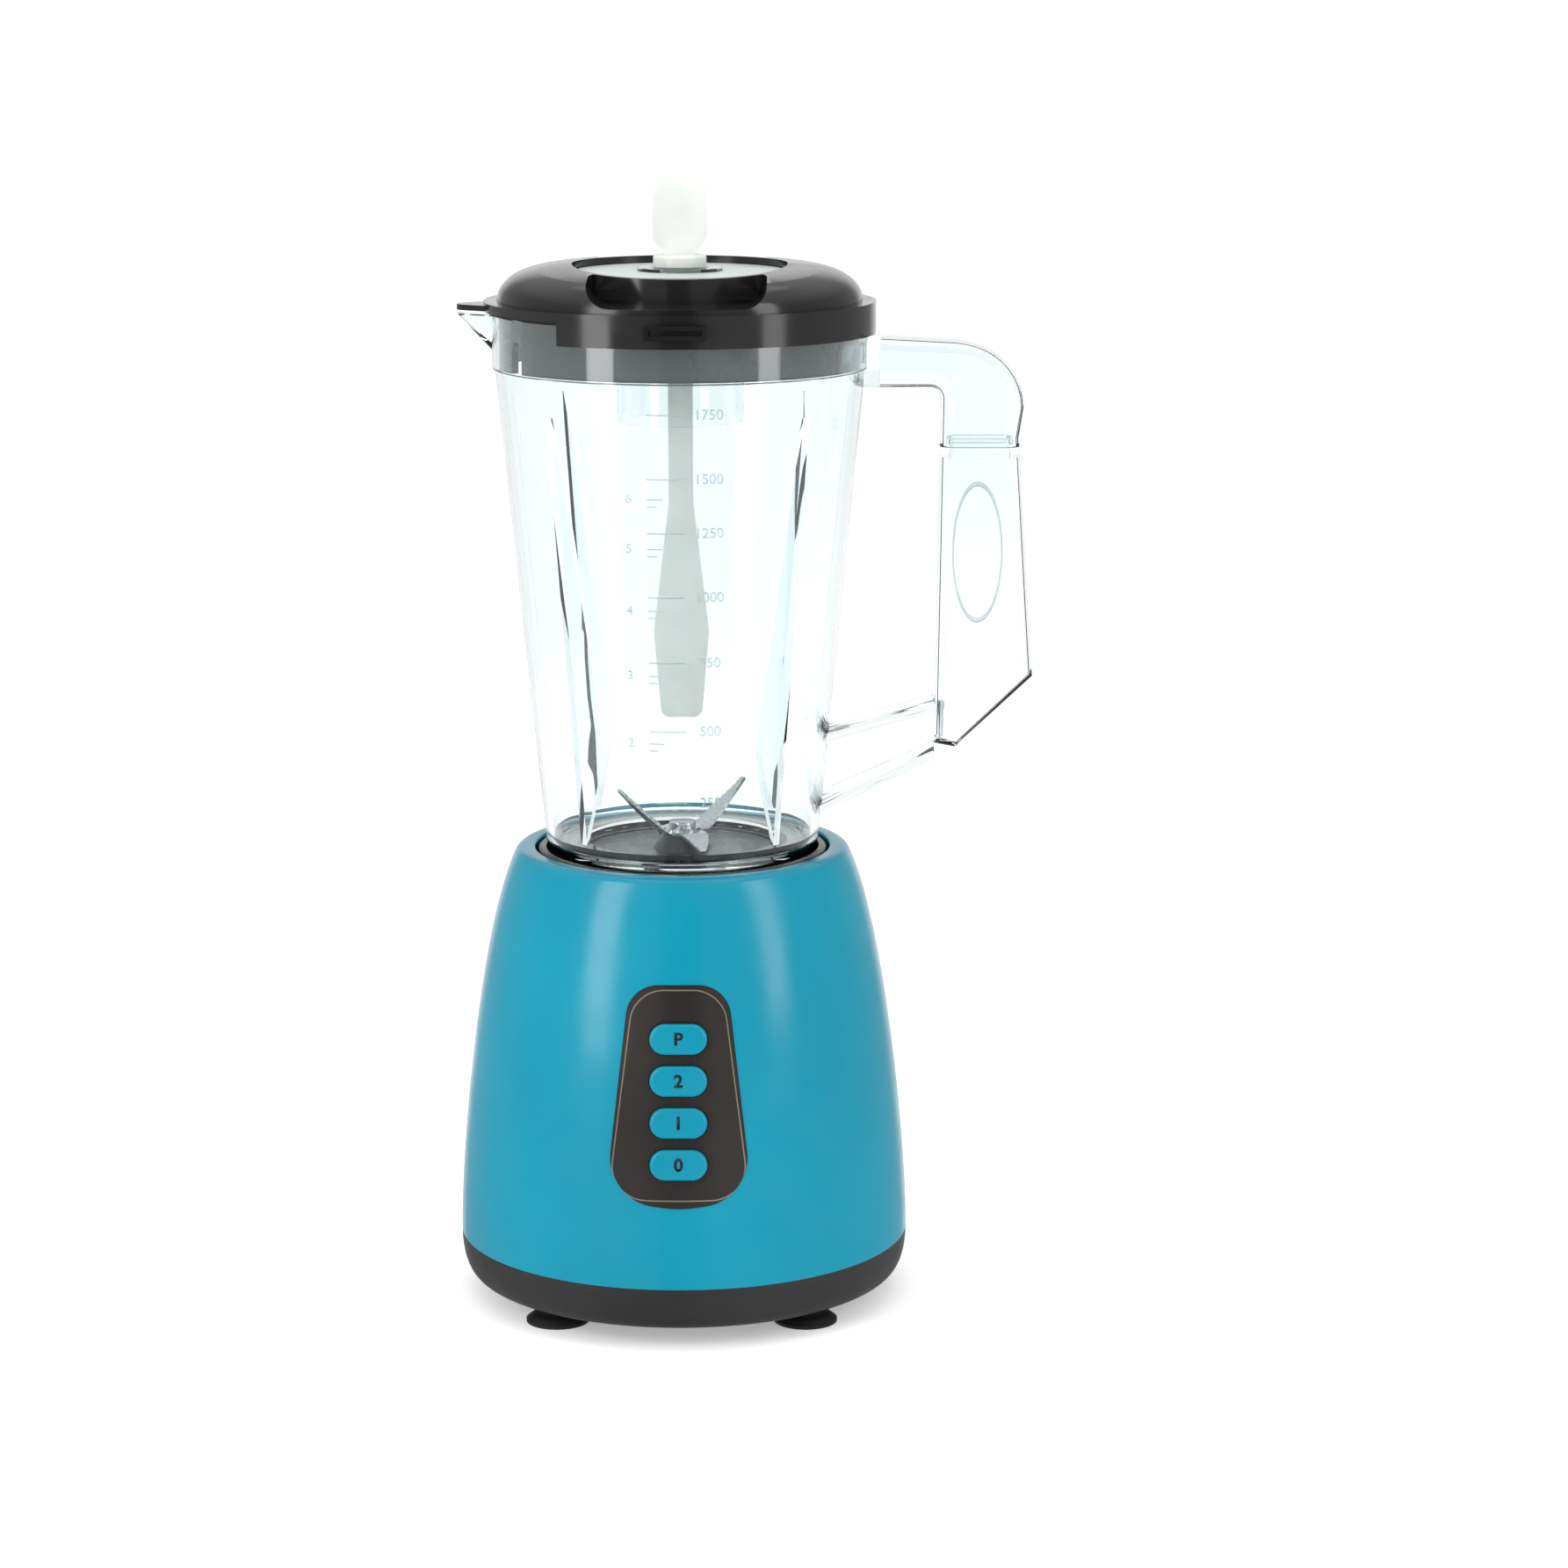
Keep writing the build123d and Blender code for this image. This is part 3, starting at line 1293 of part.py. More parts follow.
# The grip sleeve slips up the arm: a hollow grip below the seam, with a short plug inside
# the arm's open end.
with BuildPart() as handle_grip:
    add(handle_outer)
    split(bisect_by=Plane.XY.offset(sleeve_z), keep=Keep.BOTTOM)
    add(handle_inner, mode=Mode.SUBTRACT)
    for inset, low, high in ((handle_wall + fit_gap, 0, plug_length), (handle_wall - weld, -plug_root, 0)):
        with BuildPart(mode=Mode.PRIVATE) as plug:
            add(handle_solid(inset, handle_round - inset))
            add(handle_solid(2 * handle_wall, handle_round - 2 * handle_wall), mode=Mode.SUBTRACT)
            split(bisect_by=Plane.XY.offset(sleeve_z + high), keep=Keep.BOTTOM)
            split(bisect_by=Plane.XY.offset(sleeve_z + low), keep=Keep.TOP)
        add(plug.part)
handle_grip.part.label = "handle_grip"
export_step(handle_grip.part, "parts/handle_grip.step")

# ---------------------------------------------------------------- lid, cup and stirrer
lid_low = rim_z + seat_gap + seal_thickness
flange_z = lid_low + lid_flange
crown_z = flange_z + dome_height
cup_top = crown_z - crown_step
recess_z = cup_top - cup_plate - seat_gap
plug_radius = rim_radius - jug_wall - seat_gap
recess_radius = cup_plate_radius + cup_plate_gap
cup_hole_radius = cup_radius + cup_hole_gap
skirt_inner = rim_radius + skirt_gap
skirt_radius = skirt_inner + skirt_wall
dome_foot_radius = skirt_radius - dome_ledge
crown_radius = recess_radius + crown_edge
scoop_radius = cup_plate_radius - scoop_wall_inset
scoop_z = flange_z + scoop_floor
scoop_length = skirt_radius - scoop_radius / 2
scoop_centre = (skirt_radius + scoop_radius / 2) / 2 + 2.0


def dome(inset, low):
    """The lid's domed top as a solid, moved in by an inset, down to a level."""
    with BuildPart(mode=Mode.PRIVATE) as body:
        with BuildSketch(Plane.XZ):
            with BuildLine():
                foot, top = dome_foot_radius - inset, crown_z - inset
                side = Bezier((foot, flange_z - inset), (foot, mix(flange_z, crown_z, 0.55) - inset),
                              (mix(crown_radius, foot, 0.66), top), (crown_radius, top))
                Polyline(side @ 1, (0, top), (0, low), (foot, low), side @ 0)
            make_face()
        revolve(axis=Axis.Z)
    return body.part


def scoop(grow, top):
    """The finger hollows at the front and the back of the dome, moved out by grow."""
    with BuildPart(mode=Mode.PRIVATE) as body:
        with BuildSketch(Plane.XY.offset(scoop_z - grow)):
            with Locations((0, scoop_centre), (0, -scoop_centre)):
                RectangleRounded(scoop_width + 2 * grow, scoop_length + 2 * grow, scoop_corner + grow)
            Circle(scoop_radius - grow, mode=Mode.SUBTRACT)
        extrude(amount=top - scoop_z + grow)
        tall = 2 * dome_height + 2 * grow
        with BuildSketch(Plane.XZ):
            with Locations((0, scoop_z - grow + tall / 2)):
                RectangleRounded(scoop_width + 2 * grow, tall, scoop_floor_round + grow)
        extrude(amount=2 * skirt_radius, both=True, mode=Mode.INTERSECT)
    return body.part


# The lid: a flange on the jug's rim, a dome with a recess for the measuring cup and two
# finger hollows, a skirt outside the rim that is left out over the spout and a flap that
# covers the spout.
with BuildPart() as lid:
    add(dome(0, lid_low))
    add(turned(tube(0, skirt_radius, lid_low, flange_z)))
    add(turned(tube(skirt_inner, skirt_radius, flange_z - skirt_depth, flange_z)))
    with BuildPart(mode=Mode.PRIVATE) as gap:
        with BuildSketch(Plane.XY.offset(flange_z - skirt_depth)):
            reach = 2 * skirt_radius
            with BuildLine():
                a = radians(gap_half_angle)
                Polyline((0, 0), (-reach * cos(a), reach * sin(a)), (-2 * reach, reach * sin(a)),
                         (-2 * reach, -reach * sin(a)), (-reach * cos(a), -reach * sin(a)), close=True)
            make_face()
        extrude(amount=lid_low - flange_z + skirt_depth)
    add(gap.part, mode=Mode.SUBTRACT)
    with BuildSketch(Plane.XY.offset(lid_low)):
        with Locations((-spout_tip + spout_tip_radius, 0)):
            Circle(spout_tip_radius)
        with Locations((-rim_radius + spout_root_radius + spout_flare, 0)):
            Circle(spout_root_radius)
        make_hull()
    extrude(amount=lid_flange * 0.6)
    add(turned(tube(0, recess_radius, recess_z, crown_z + 1.0)), mode=Mode.SUBTRACT)
    add(scoop(0, crown_z + 1.0), mode=Mode.SUBTRACT)
    with BuildPart(mode=Mode.PRIVATE) as hollow:
        add(dome(lid_wall, lid_low - 1.0))
        with BuildPart(mode=Mode.PRIVATE) as kept:
            add(turned(tube(0, recess_radius + lid_wall, recess_z - lid_wall, crown_z)))
            add(scoop(lid_wall, crown_z))
        add(kept.part, mode=Mode.SUBTRACT)
    add(hollow.part, mode=Mode.SUBTRACT)
    with BuildSketch(Plane.XY.offset(crown_z)):
        Circle(cup_hole_radius)
    extrude(amount=-dome_height, mode=Mode.SUBTRACT)
    with BuildSketch(Plane.XZ.offset(skirt_radius + latch_thickness)):
        with Locations((0, flange_z - skirt_depth / 2)):
            Rectangle(latch_width, latch_height)
            Rectangle(latch_width - 2 * latch_thickness, latch_height - 2 * latch_thickness,
                      mode=Mode.SUBTRACT)
    extrude(amount=-latch_thickness - latch_root)
lid.part.label = "lid"
export_step(lid.part, "parts/lid.step")

# The plug is a ring inside the jug's rim, with slots towards the spout to pour through.
with BuildPart() as lid_plug:
    add(turned(tube(plug_radius - plug_wall, plug_radius, lid_low - plug_depth, lid_low)))
    for i in range(slot_count):
        azimuth = 180 + (i - (slot_count - 1) / 2) * slot_spread
        with BuildSketch(radial_plane(azimuth + 90)):
            with Locations((0, lid_low - plug_depth - slot_width / 2)):
                SlotOverall(2 * slot_height, slot_width, rotation=90)
        extrude(amount=2 * plug_radius, mode=Mode.SUBTRACT)
lid_plug.part.label = "lid_plug"
export_step(lid_plug.part, "parts/lid_plug.step")

with BuildPart() as lid_seal:
    add(turned(tube(plug_radius, skirt_inner - 0.6, rim_z + seat_gap, lid_low)))
lid_seal.part.label = "lid_seal"
export_step(lid_seal.part, "parts/lid_seal.step")

# The measuring cup hangs upside down in the lid from a wide plate, with a raised middle
# that is slotted for the stirrer.
boss_top = cup_top + cup_boss_height
collar_low = boss_top + seat_gap
groove_outer = cup_boss_radius + cup_groove_width
with BuildPart() as measuring_cup:
    add(turned(
        tube(0, cup_plate_radius, cup_top - cup_plate, cup_top),
        tube(0, cup_boss_radius, cup_top - cup_plate, boss_top),
        tube(cup_radius - cup_wall, cup_radius, cup_top - cup_depth, cup_top - cup_plate),
    ))
    add(turned(tube(cup_boss_radius, groove_outer, cup_top - cup_groove_depth, boss_top)),
        mode=Mode.SUBTRACT)
    with BuildSketch(Plane.XY.offset(boss_top)):
        Rectangle(paddle_width + 2 * slot_gap, stirrer_thickness + 2 * slot_gap)
    extrude(amount=-cup_depth / 2, mode=Mode.SUBTRACT)
measuring_cup.part.label = "measuring_cup"
export_step(measuring_cup.part, "parts/measuring_cup.step")

# The stirrer: a flat handle above a round collar, a long shaft and a narrow paddle.
handle_top = collar_low + stirrer_top
tip_z = collar_low - stirrer_length
neck_z = collar_low + stirrer_collar
with BuildPart() as stirrer:
    half_handle, half_neck = stirrer_handle_width / 2, stirrer_neck_width / 2
    half_shaft, half_paddle = stirrer_shaft_width / 2, paddle_width / 2
    shoulder_z = neck_z + 6.0
    with BuildSketch(Plane.XZ) as upper:
        with BuildLine():
            Polyline((half_neck, collar_low), (half_neck, neck_z), (half_handle, shoulder_z),
                     (half_handle, handle_top), (-half_handle, handle_top),
                     (-half_handle, shoulder_z), (-half_neck, neck_z), (-half_neck, collar_low),
                     close=True)
        make_face()
        fillet(upper.vertices().group_by(Axis.Y)[-1], half_handle * 0.7)
        fillet(upper.vertices().group_by(Axis.Y)[2], 3.0)
    extrude(amount=stirrer_thickness / 2, both=True)
    with BuildSketch(Plane.XZ) as lower:
        with BuildLine():
            Polyline((half_shaft, collar_low + 1.0), (half_shaft, tip_z + paddle_length + 30.0),
                     (half_paddle, tip_z + paddle_length * 0.64),
                     (paddle_tip_width / 2, tip_z), (-paddle_tip_width / 2, tip_z),
                     (-half_paddle, tip_z + paddle_length * 0.64),
                     (-half_shaft, tip_z + paddle_length + 30.0), (-half_shaft, collar_low + 1.0),
                     close=True)
        make_face()
        fillet(lower.vertices().group_by(Axis.Y)[0], 3.5)
        fillet(lower.vertices().group_by(Axis.Y)[2], 12.0)
    extrude(amount=stirrer_thickness / 2, both=True)
    with BuildSketch(Plane.XY.offset(collar_low)):
        Circle(stirrer_collar_radius)
    extrude(amount=stirrer_collar)
    fillet(stirrer.edges().filter_by(GeomType.CIRCLE).filter_by(Plane.XY).group_by(Axis.Z)[-1], 1.2)
stirrer.part.label = "stirrer"
export_step(stirrer.part, "parts/stirrer.step")
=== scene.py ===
# %% [markdown]
# # A countertop blender
# The blender has a round motor base in glossy teal plastic, a clear jug with a handle and a
# spout, a black lid, a clear measuring cup in the lid and a white stirrer through the cup.
# The engineering model gives every part its real place and size.  Here the parts that are
# seen get rounded surfaces, marks and numbers, and every part gets its own finish.

# %% Load the fixed frame
from math import cos, radians, sin

import bmesh
import bpy
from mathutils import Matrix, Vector


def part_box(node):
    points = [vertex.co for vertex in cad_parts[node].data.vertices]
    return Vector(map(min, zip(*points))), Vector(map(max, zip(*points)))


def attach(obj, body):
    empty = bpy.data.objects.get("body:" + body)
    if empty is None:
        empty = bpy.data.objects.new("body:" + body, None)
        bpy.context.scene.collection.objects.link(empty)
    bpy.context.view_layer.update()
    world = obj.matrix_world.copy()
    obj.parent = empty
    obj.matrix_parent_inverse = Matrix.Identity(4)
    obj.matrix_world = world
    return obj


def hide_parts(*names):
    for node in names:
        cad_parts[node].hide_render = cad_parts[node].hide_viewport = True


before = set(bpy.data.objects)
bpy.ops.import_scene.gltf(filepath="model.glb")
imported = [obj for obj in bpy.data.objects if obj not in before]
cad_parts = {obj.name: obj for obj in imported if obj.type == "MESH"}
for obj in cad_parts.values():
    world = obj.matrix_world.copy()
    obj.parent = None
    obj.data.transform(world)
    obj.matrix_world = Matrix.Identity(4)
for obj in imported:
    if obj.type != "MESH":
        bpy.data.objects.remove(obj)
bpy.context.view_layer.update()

mm = 0.001

# %% [markdown]
# ## Working by hand, from a script
# Blender's operators act on whatever is selected, so the desk is cleared before each one.
# Vertices are then picked by where they are.  A finished piece has its place in its mesh
# and its object at the origin, so a pattern on it stays where it is.

# %% Small helpers for the desk
def clear_desk():
    """Leaves edit mode and selects nothing."""
    if bpy.context.mode != "OBJECT":
        bpy.ops.object.mode_set(mode="OBJECT")
    bpy.ops.object.select_all(action="DESELECT")


def take(piece):
    """Selects one piece alone."""
    clear_desk()
    piece.select_set(True)
    bpy.context.view_layer.objects.active = piece


def open_up(piece, kind="VERT"):
    """Goes into edit mode on one piece with nothing selected in it."""
    take(piece)
    bpy.ops.object.mode_set(mode="EDIT")
    bpy.ops.mesh.select_mode(type=kind)
    bpy.ops.mesh.select_all(action="DESELECT")


def pick(piece, test):
    """Selects the vertices whose place passes a test."""
    bpy.ops.mesh.select_mode(type="VERT")
    bpy.ops.mesh.select_all(action="DESELECT")
    mesh = bmesh.from_edit_mesh(piece.data)
    for vertex in mesh.verts:
        vertex.select_set(bool(test(vertex.co)))
    mesh.select_flush_mode()
    bmesh.update_edit_mesh(piece.data)


def settle(piece):
    """Puts a piece's place into its mesh."""
    take(piece)
    bpy.ops.object.transform_apply(location=True, rotation=True, scale=True)


def soften(piece, angle=35):
    """Smooth shading, with the edges sharper than an angle kept sharp."""
    take(piece)
    bpy.ops.object.shade_smooth_by_angle(angle=radians(angle))


def modify(piece, kind, **settings):
    """Adds a modifier, sets it and applies it."""
    take(piece)
    bpy.ops.object.modifier_add(type=kind)
    modifier = piece.modifiers[-1]
    for name, value in settings.items():
        setattr(modifier, name, value)
    bpy.ops.object.modifier_apply(modifier=modifier.name)


print("desk helpers ready")

# %% [markdown]
# ## Finishes
# Each finish is built from noise in the object's own coordinates: one noise shifts the
# colour a little, a second one the gloss, and a fine third one the surface's height.
# Moulded plastic is never perfectly even, and the small changes show in its reflections.

# %% Colours and the nodes that every finish uses
def screen(red, green, blue):
    """A colour given as it looks on a screen, turned into light."""
    return [(c / 255 / 12.92 if c < 10.3 else ((c / 255 + 0.055) / 1.055) ** 2.4)
            for c in (red, green, blue)] + [1.0]


def new_finish(name):
    """A new finish, and the nodes, links and shader that it is made with."""
    finish = bpy.data.materials.new(name)
    finish.use_nodes = True
    tree = finish.node_tree
    return finish, tree.nodes, tree.links, tree.nodes["Principled BSDF"]


def noise(nodes, links, scale, detail=2.0, stretch=(1, 1, 1)):
    """Noise in the object's coordinates; scale is in lumps to a metre."""
    place = nodes.new("ShaderNodeTexCoord")
    mapping = nodes.new("ShaderNodeMapping")
    mapping.inputs["Scale"].default_value = stretch
    lumps = nodes.new("ShaderNodeTexNoise")
    lumps.inputs["Scale"].default_value = scale
    lumps.inputs["Detail"].default_value = detail
    links.new(place.outputs["Object"], mapping.inputs["Vector"])
    links.new(mapping.outputs["Vector"], lumps.inputs["Vector"])
    return lumps.outputs[0]


def between(nodes, links, value, first, second, low=0.35, high=0.65):
    """A colour that goes from first to second as the value goes from low to high."""
    ramp = nodes.new("ShaderNodeValToRGB")
    ramp.color_ramp.elements[0].position = low
    ramp.color_ramp.elements[0].color = first
    ramp.color_ramp.elements[1].position = high
    ramp.color_ramp.elements[1].color = second
    links.new(value, ramp.inputs["Fac"])
    return ramp.outputs["Color"]


def spread(nodes, links, value, low, high, usual=(0.3, 0.7)):
    """A number that goes from low to high as the value goes through its usual range."""
    fit = nodes.new("ShaderNodeMapRange")
    fit.inputs["From Min"].default_value = usual[0]
    fit.inputs["From Max"].default_value = usual[1]
    fit.inputs["To Min"].default_value = low
    fit.inputs["To Max"].default_value = high
    links.new(value, fit.inputs["Value"])
    return fit.outputs["Result"]


def height(nodes, links, value, shader, depth):
    """Lets the value raise the surface by up to depth metres."""
    bump = nodes.new("ShaderNodeBump")
    bump.inputs["Strength"].default_value = 1.0
    bump.inputs["Distance"].default_value = depth
    links.new(value, bump.inputs["Height"])
    links.new(bump.outputs["Normal"], shader.inputs["Normal"])


print("finish helpers ready")

# %% [markdown]
# ### Moulded plastics and rubber
# The base, the buttons, the trim and the lid are injection moulded.  A polished mould gives
# a glossy skin with a very slight waviness, and a spark-eroded mould gives a fine grain.

# %% The solid plastics
def moulded(name, light, dark, gloss, grain, depth, lumps=14.0, level=0.5):
    """A solid plastic: two close colours, a range of roughness and a grain."""
    finish, nodes, links, shader = new_finish(name)
    tone = noise(nodes, links, lumps, 3.0)
    links.new(between(nodes, links, tone, dark, light), shader.inputs["Base Color"])
    wipe = noise(nodes, links, 60.0, 4.0)
    links.new(spread(nodes, links, wipe, *gloss), shader.inputs["Roughness"])
    height(nodes, links, noise(nodes, links, grain, 2.0), shader, depth)
    shader.inputs["Specular IOR Level"].default_value = level
    return finish


teal_gloss = moulded("teal_gloss", screen(0, 141, 166), screen(0, 134, 159),
                     (0.16, 0.24), 45.0, 0.00004, level=0.4)
button_gloss = moulded("button_gloss", screen(0, 139, 164), screen(0, 132, 156),
                       (0.2, 0.3), 90.0, 0.00003, level=0.4)
trim_satin = moulded("trim_satin", screen(46, 45, 45), screen(37, 36, 36),
                     (0.38, 0.5), 2600.0, 0.00002)
panel_gloss = moulded("panel_gloss", screen(46, 42, 39), screen(38, 34, 31),
                      (0.2, 0.3), 900.0, 0.000006)
lid_gloss = moulded("lid_gloss", screen(34, 33, 33), screen(26, 25, 25),
                    (0.1, 0.2), 40.0, 0.00004)
socket_gloss = moulded("socket_gloss", screen(30, 30, 31), screen(20, 20, 21),
                       (0.2, 0.32), 60.0, 0.00003, level=0.35)
plug_satin = moulded("plug_satin", screen(82, 84, 84), screen(72, 74, 74),
                     (0.25, 0.35), 300.0, 0.00002)
seat_satin = moulded("seat_satin", screen(40, 40, 42), screen(30, 30, 31),
                     (0.4, 0.55), 2200.0, 0.00002)
rubber_soft = moulded("rubber_soft", screen(38, 38, 39), screen(29, 29, 30),
                      (0.55, 0.75), 1500.0, 0.00004, level=0.35)
nylon_natural = moulded("nylon_natural", screen(232, 229, 214), screen(222, 217, 198),
                        (0.35, 0.5), 1800.0, 0.00002)
carbon_dull = moulded("carbon_dull", screen(58, 58, 60), screen(36, 36, 38),
                      (0.5, 0.8), 2500.0, 0.00003)
print("solid plastics:", 11)

# %% [markdown]
# ### Clear and translucent plastics
# The jug is clear plastic with a thin wall.  Light goes through both sides of the real
# wall, so the colour on each surface is almost white, and only edges seen end on get a
# tint.  The stirrer's plastic lets light in but scatters it, so it gets subsurface colour.

# %% The clear plastics
def clear_plastic(name, tint, pale, gloss, depth, index=1.45):
    """A clear plastic: two close tints, a range of roughness and a slow waviness."""
    finish, nodes, links, shader = new_finish(name)
    tone = noise(nodes, links, 10.0, 2.0)
    links.new(between(nodes, links, tone, tint, pale), shader.inputs["Base Color"])
    wipe = noise(nodes, links, 50.0, 4.0)
    links.new(spread(nodes, links, wipe, *gloss), shader.inputs["Roughness"])
    height(nodes, links, noise(nodes, links, 30.0, 1.0), shader, depth)
    shader.inputs["Transmission Weight"].default_value = 1.0
    shader.inputs["IOR"].default_value = index
    return finish


jug_clear = clear_plastic("jug_clear", screen(243, 250, 251), screen(249, 253, 253),
                          (0.0, 0.02), 0.00006)
cup_clear = clear_plastic("cup_clear", screen(243, 249, 249), screen(249, 252, 252),
                          (0.01, 0.04), 0.00004)
mark_clear = clear_plastic("mark_clear", screen(214, 226, 230), screen(226, 236, 238),
                           (0.3, 0.45), 0.00002)

stirrer_milk, nodes, links, shader = new_finish("stirrer_milk")
tone = noise(nodes, links, 60.0, 3.0)
links.new(between(nodes, links, tone, screen(224, 229, 224), screen(233, 236, 232)),
          shader.inputs["Base Color"])
wipe = noise(nodes, links, 120.0, 3.0)
links.new(spread(nodes, links, wipe, 0.3, 0.42), shader.inputs["Roughness"])
height(nodes, links, noise(nodes, links, 700.0, 2.0), shader, 0.00002)
shader.inputs["Subsurface Weight"].default_value = 0.35
shader.inputs["Subsurface Scale"].default_value = 0.003
print("clear plastics:", 4)

# %% [markdown]
# ### Metals
# The blades are stamped from sheet steel and show fine grinding lines.  Hidden inside are
# plated screws, a laminated core, varnished copper, a brass commutator and cast brackets.

# %% The metals
def metal(name, light, dark, gloss, grain, depth, stretch=(1, 1, 1)):
    """A metal: one noise, drawn out to lines by stretch, sets colour, gloss and height."""
    finish, nodes, links, shader = new_finish(name)
    shader.inputs["Metallic"].default_value = 1.0
    lines = noise(nodes, links, grain, 3.0, stretch)
    links.new(between(nodes, links, lines, dark, light), shader.inputs["Base Color"])
    links.new(spread(nodes, links, lines, *gloss), shader.inputs["Roughness"])
    height(nodes, links, lines, shader, depth)
    return finish


blade_steel = metal("blade_steel", screen(206, 208, 210), screen(176, 179, 182),
                    (0.18, 0.3), 900.0, 0.00002, (1, 6, 1))
shaft_steel = metal("shaft_steel", screen(190, 192, 195), screen(160, 163, 167),
                    (0.2, 0.34), 700.0, 0.00001, (1, 1, 8))
plated_steel = metal("plated_steel", screen(186, 188, 186), screen(158, 160, 156),
                     (0.28, 0.42), 500.0, 0.00002)
cast_alloy = metal("cast_alloy", screen(176, 178, 180), screen(146, 148, 151),
                   (0.45, 0.62), 1300.0, 0.00006)
commutator_brass = metal("commutator_brass", screen(214, 172, 96), screen(188, 146, 76),
                         (0.25, 0.4), 600.0, 0.00002, (1, 1, 8))
bush_bronze = metal("bush_bronze", screen(186, 140, 86), screen(156, 114, 66),
                    (0.4, 0.55), 2400.0, 0.00003)
core_sheets = metal("core_sheets", screen(124, 126, 130), screen(74, 76, 80),
                    (0.35, 0.6), 1.0, 0.00005, (60, 60, 1600))
coil_copper = metal("coil_copper", screen(206, 112, 66), screen(140, 66, 36),
                    (0.22, 0.4), 1.0, 0.0001, (60, 60, 900))
print("metals:", 8)

# %% [markdown]
# ### Giving each engineering part its finish
# The engineering parts already have the right shapes, so each only takes a finish in its
# material slot.  Those that are seen are replaced further down by finished pieces.

# %% Finishes on the engineering parts
node_finish = {
    teal_gloss: ["base_housing"],
    button_gloss: ["pulse_button", "speed_2_button", "speed_1_button", "stop_button"],
    trim_satin: ["bottom_cover", "switch_body", "brush_holders", "driven_coupling"],
    panel_gloss: ["control_panel"],
    lid_gloss: ["lid"],
    plug_satin: ["lid_plug"],
    socket_gloss: ["blade_base"],
    seat_satin: ["jug_seat"],
    rubber_soft: ["foot_front_left", "foot_front_right", "foot_back_left", "foot_back_right",
                  "cord_gland", "motor_mounts", "base_gasket", "shaft_seal", "lid_seal"],
    nylon_natural: ["cooling_fan", "drive_coupling", "pulse_plunger", "speed_2_plunger",
                    "speed_1_plunger", "stop_plunger"],
    carbon_dull: ["carbon_brushes"],
    jug_clear: ["jug", "handle_arm", "handle_bridge", "handle_grip"],
    cup_clear: ["measuring_cup"],
    stirrer_milk: ["stirrer"],
    blade_steel: ["upper_blade", "lower_blade", "blade_nut"],
    shaft_steel: ["motor_shaft", "blade_shaft", "upper_bearing", "lower_bearing"],
    plated_steel: ["cover_screws", "motor_screws", "mount_studs"],
    cast_alloy: ["upper_bracket", "lower_bracket"],
    commutator_brass: ["commutator"],
    bush_bronze: ["shaft_bush"],
    core_sheets: ["stator_core", "armature_core"],
    coil_copper: ["field_coils", "armature_windings"],
}
for finish, names in node_finish.items():
    for name in names:
        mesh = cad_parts[name].data
        mesh.materials.clear()
        mesh.materials.append(finish)
finished = {name for names in node_finish.values() for name in names}
print("parts without a finish:", sorted(set(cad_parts) - finished))

# %% [markdown]
# ## Studio
# The floor is pale and glows a little of its own, so that it runs into the white room
# without a visible edge.  Mirror-like reflections leave it out, because a bright floor
# would whiten the lower half of everything glossy.

# %% The floor
floor_size, floor_glow = 12.0, 0.32
clear_desk()
bpy.ops.mesh.primitive_plane_add(size=floor_size, location=(0, 0, 0))
floor = bpy.context.object
floor.name = "studio_floor"
floor_paint, nodes, links, shader = new_finish("floor_paint")
links.new(between(nodes, links, noise(nodes, links, 1.5), screen(250, 250, 250),
                  screen(253, 253, 253)), shader.inputs["Base Color"])
shader.inputs["Roughness"].default_value = 0.9
shader.inputs["Specular IOR Level"].default_value = 0.1
shader.inputs["Emission Color"].default_value = (1, 1, 1, 1)
shader.inputs["Emission Strength"].default_value = floor_glow
floor.data.materials.append(floor_paint)
floor.visible_glossy = False
print("floor:", tuple(floor.dimensions))

# %% [markdown]
# ### The room
# A glossy body shows the room that it stands in, so the room decides how it looks.
# Mirror-like reflections see a pale card on the left and on the right with a dark gap
# between them, a pale room behind the blender that is brightest straight behind it, and a
# bright ceiling.  Everything else sees an even white room.

# %% A room with cards, a far wall and a ceiling
room = bpy.data.worlds.new("studio_room")
bpy.context.scene.world = room
room.use_nodes = True
nodes, links = room.node_tree.nodes, room.node_tree.links


def sums(operation, first, second, clamp=False):
    """One step of arithmetic in the room's nodes."""
    step = nodes.new("ShaderNodeMath")
    step.operation = operation
    step.use_clamp = clamp
    for socket, value in zip(step.inputs, (first, second)):
        if isinstance(value, (int, float)):
            socket.default_value = value
        else:
            links.new(value, socket)
    return step.outputs[0]


def beyond(direction, start, sharpness):
    """Goes from 0 to 1 where a direction passes its start, the faster the sharper."""
    return sums("MULTIPLY", sums("SUBTRACT", direction, start), sharpness, clamp=True)


card_light, far_light, ceiling_light, gap_light = 0.36, 0.6, 0.5, 0.04
room_light, camera_extra, clear_extra = 0.8, 0.3, 0.2
ray = nodes.new("ShaderNodeLightPath")
mirrored = sums("MULTIPLY", ray.outputs["Is Reflection Ray"],
                sums("SUBTRACT", 1.0, ray.outputs["Is Diffuse Ray"]))
aim = nodes.new("ShaderNodeTexCoord")
split = nodes.new("ShaderNodeSeparateXYZ")
links.new(aim.outputs["Generated"], split.inputs[0])
across, along, up = split.outputs["X"], split.outputs["Y"], split.outputs["Z"]
card = beyond(sums("ABSOLUTE", across, 0.0), 0.16, 14.0)
behind = beyond(along, 0.0, 5.0)
ceiling = beyond(up, 0.35, 3.0)
far_wall = beyond(along, 0.85, 12.0)
reflected = sums("ADD", sums("MULTIPLY", sums("MAXIMUM", card, behind), card_light),
                 sums("MULTIPLY", ceiling, ceiling_light))
reflected = sums("ADD", reflected, sums("MULTIPLY", far_wall, far_light))
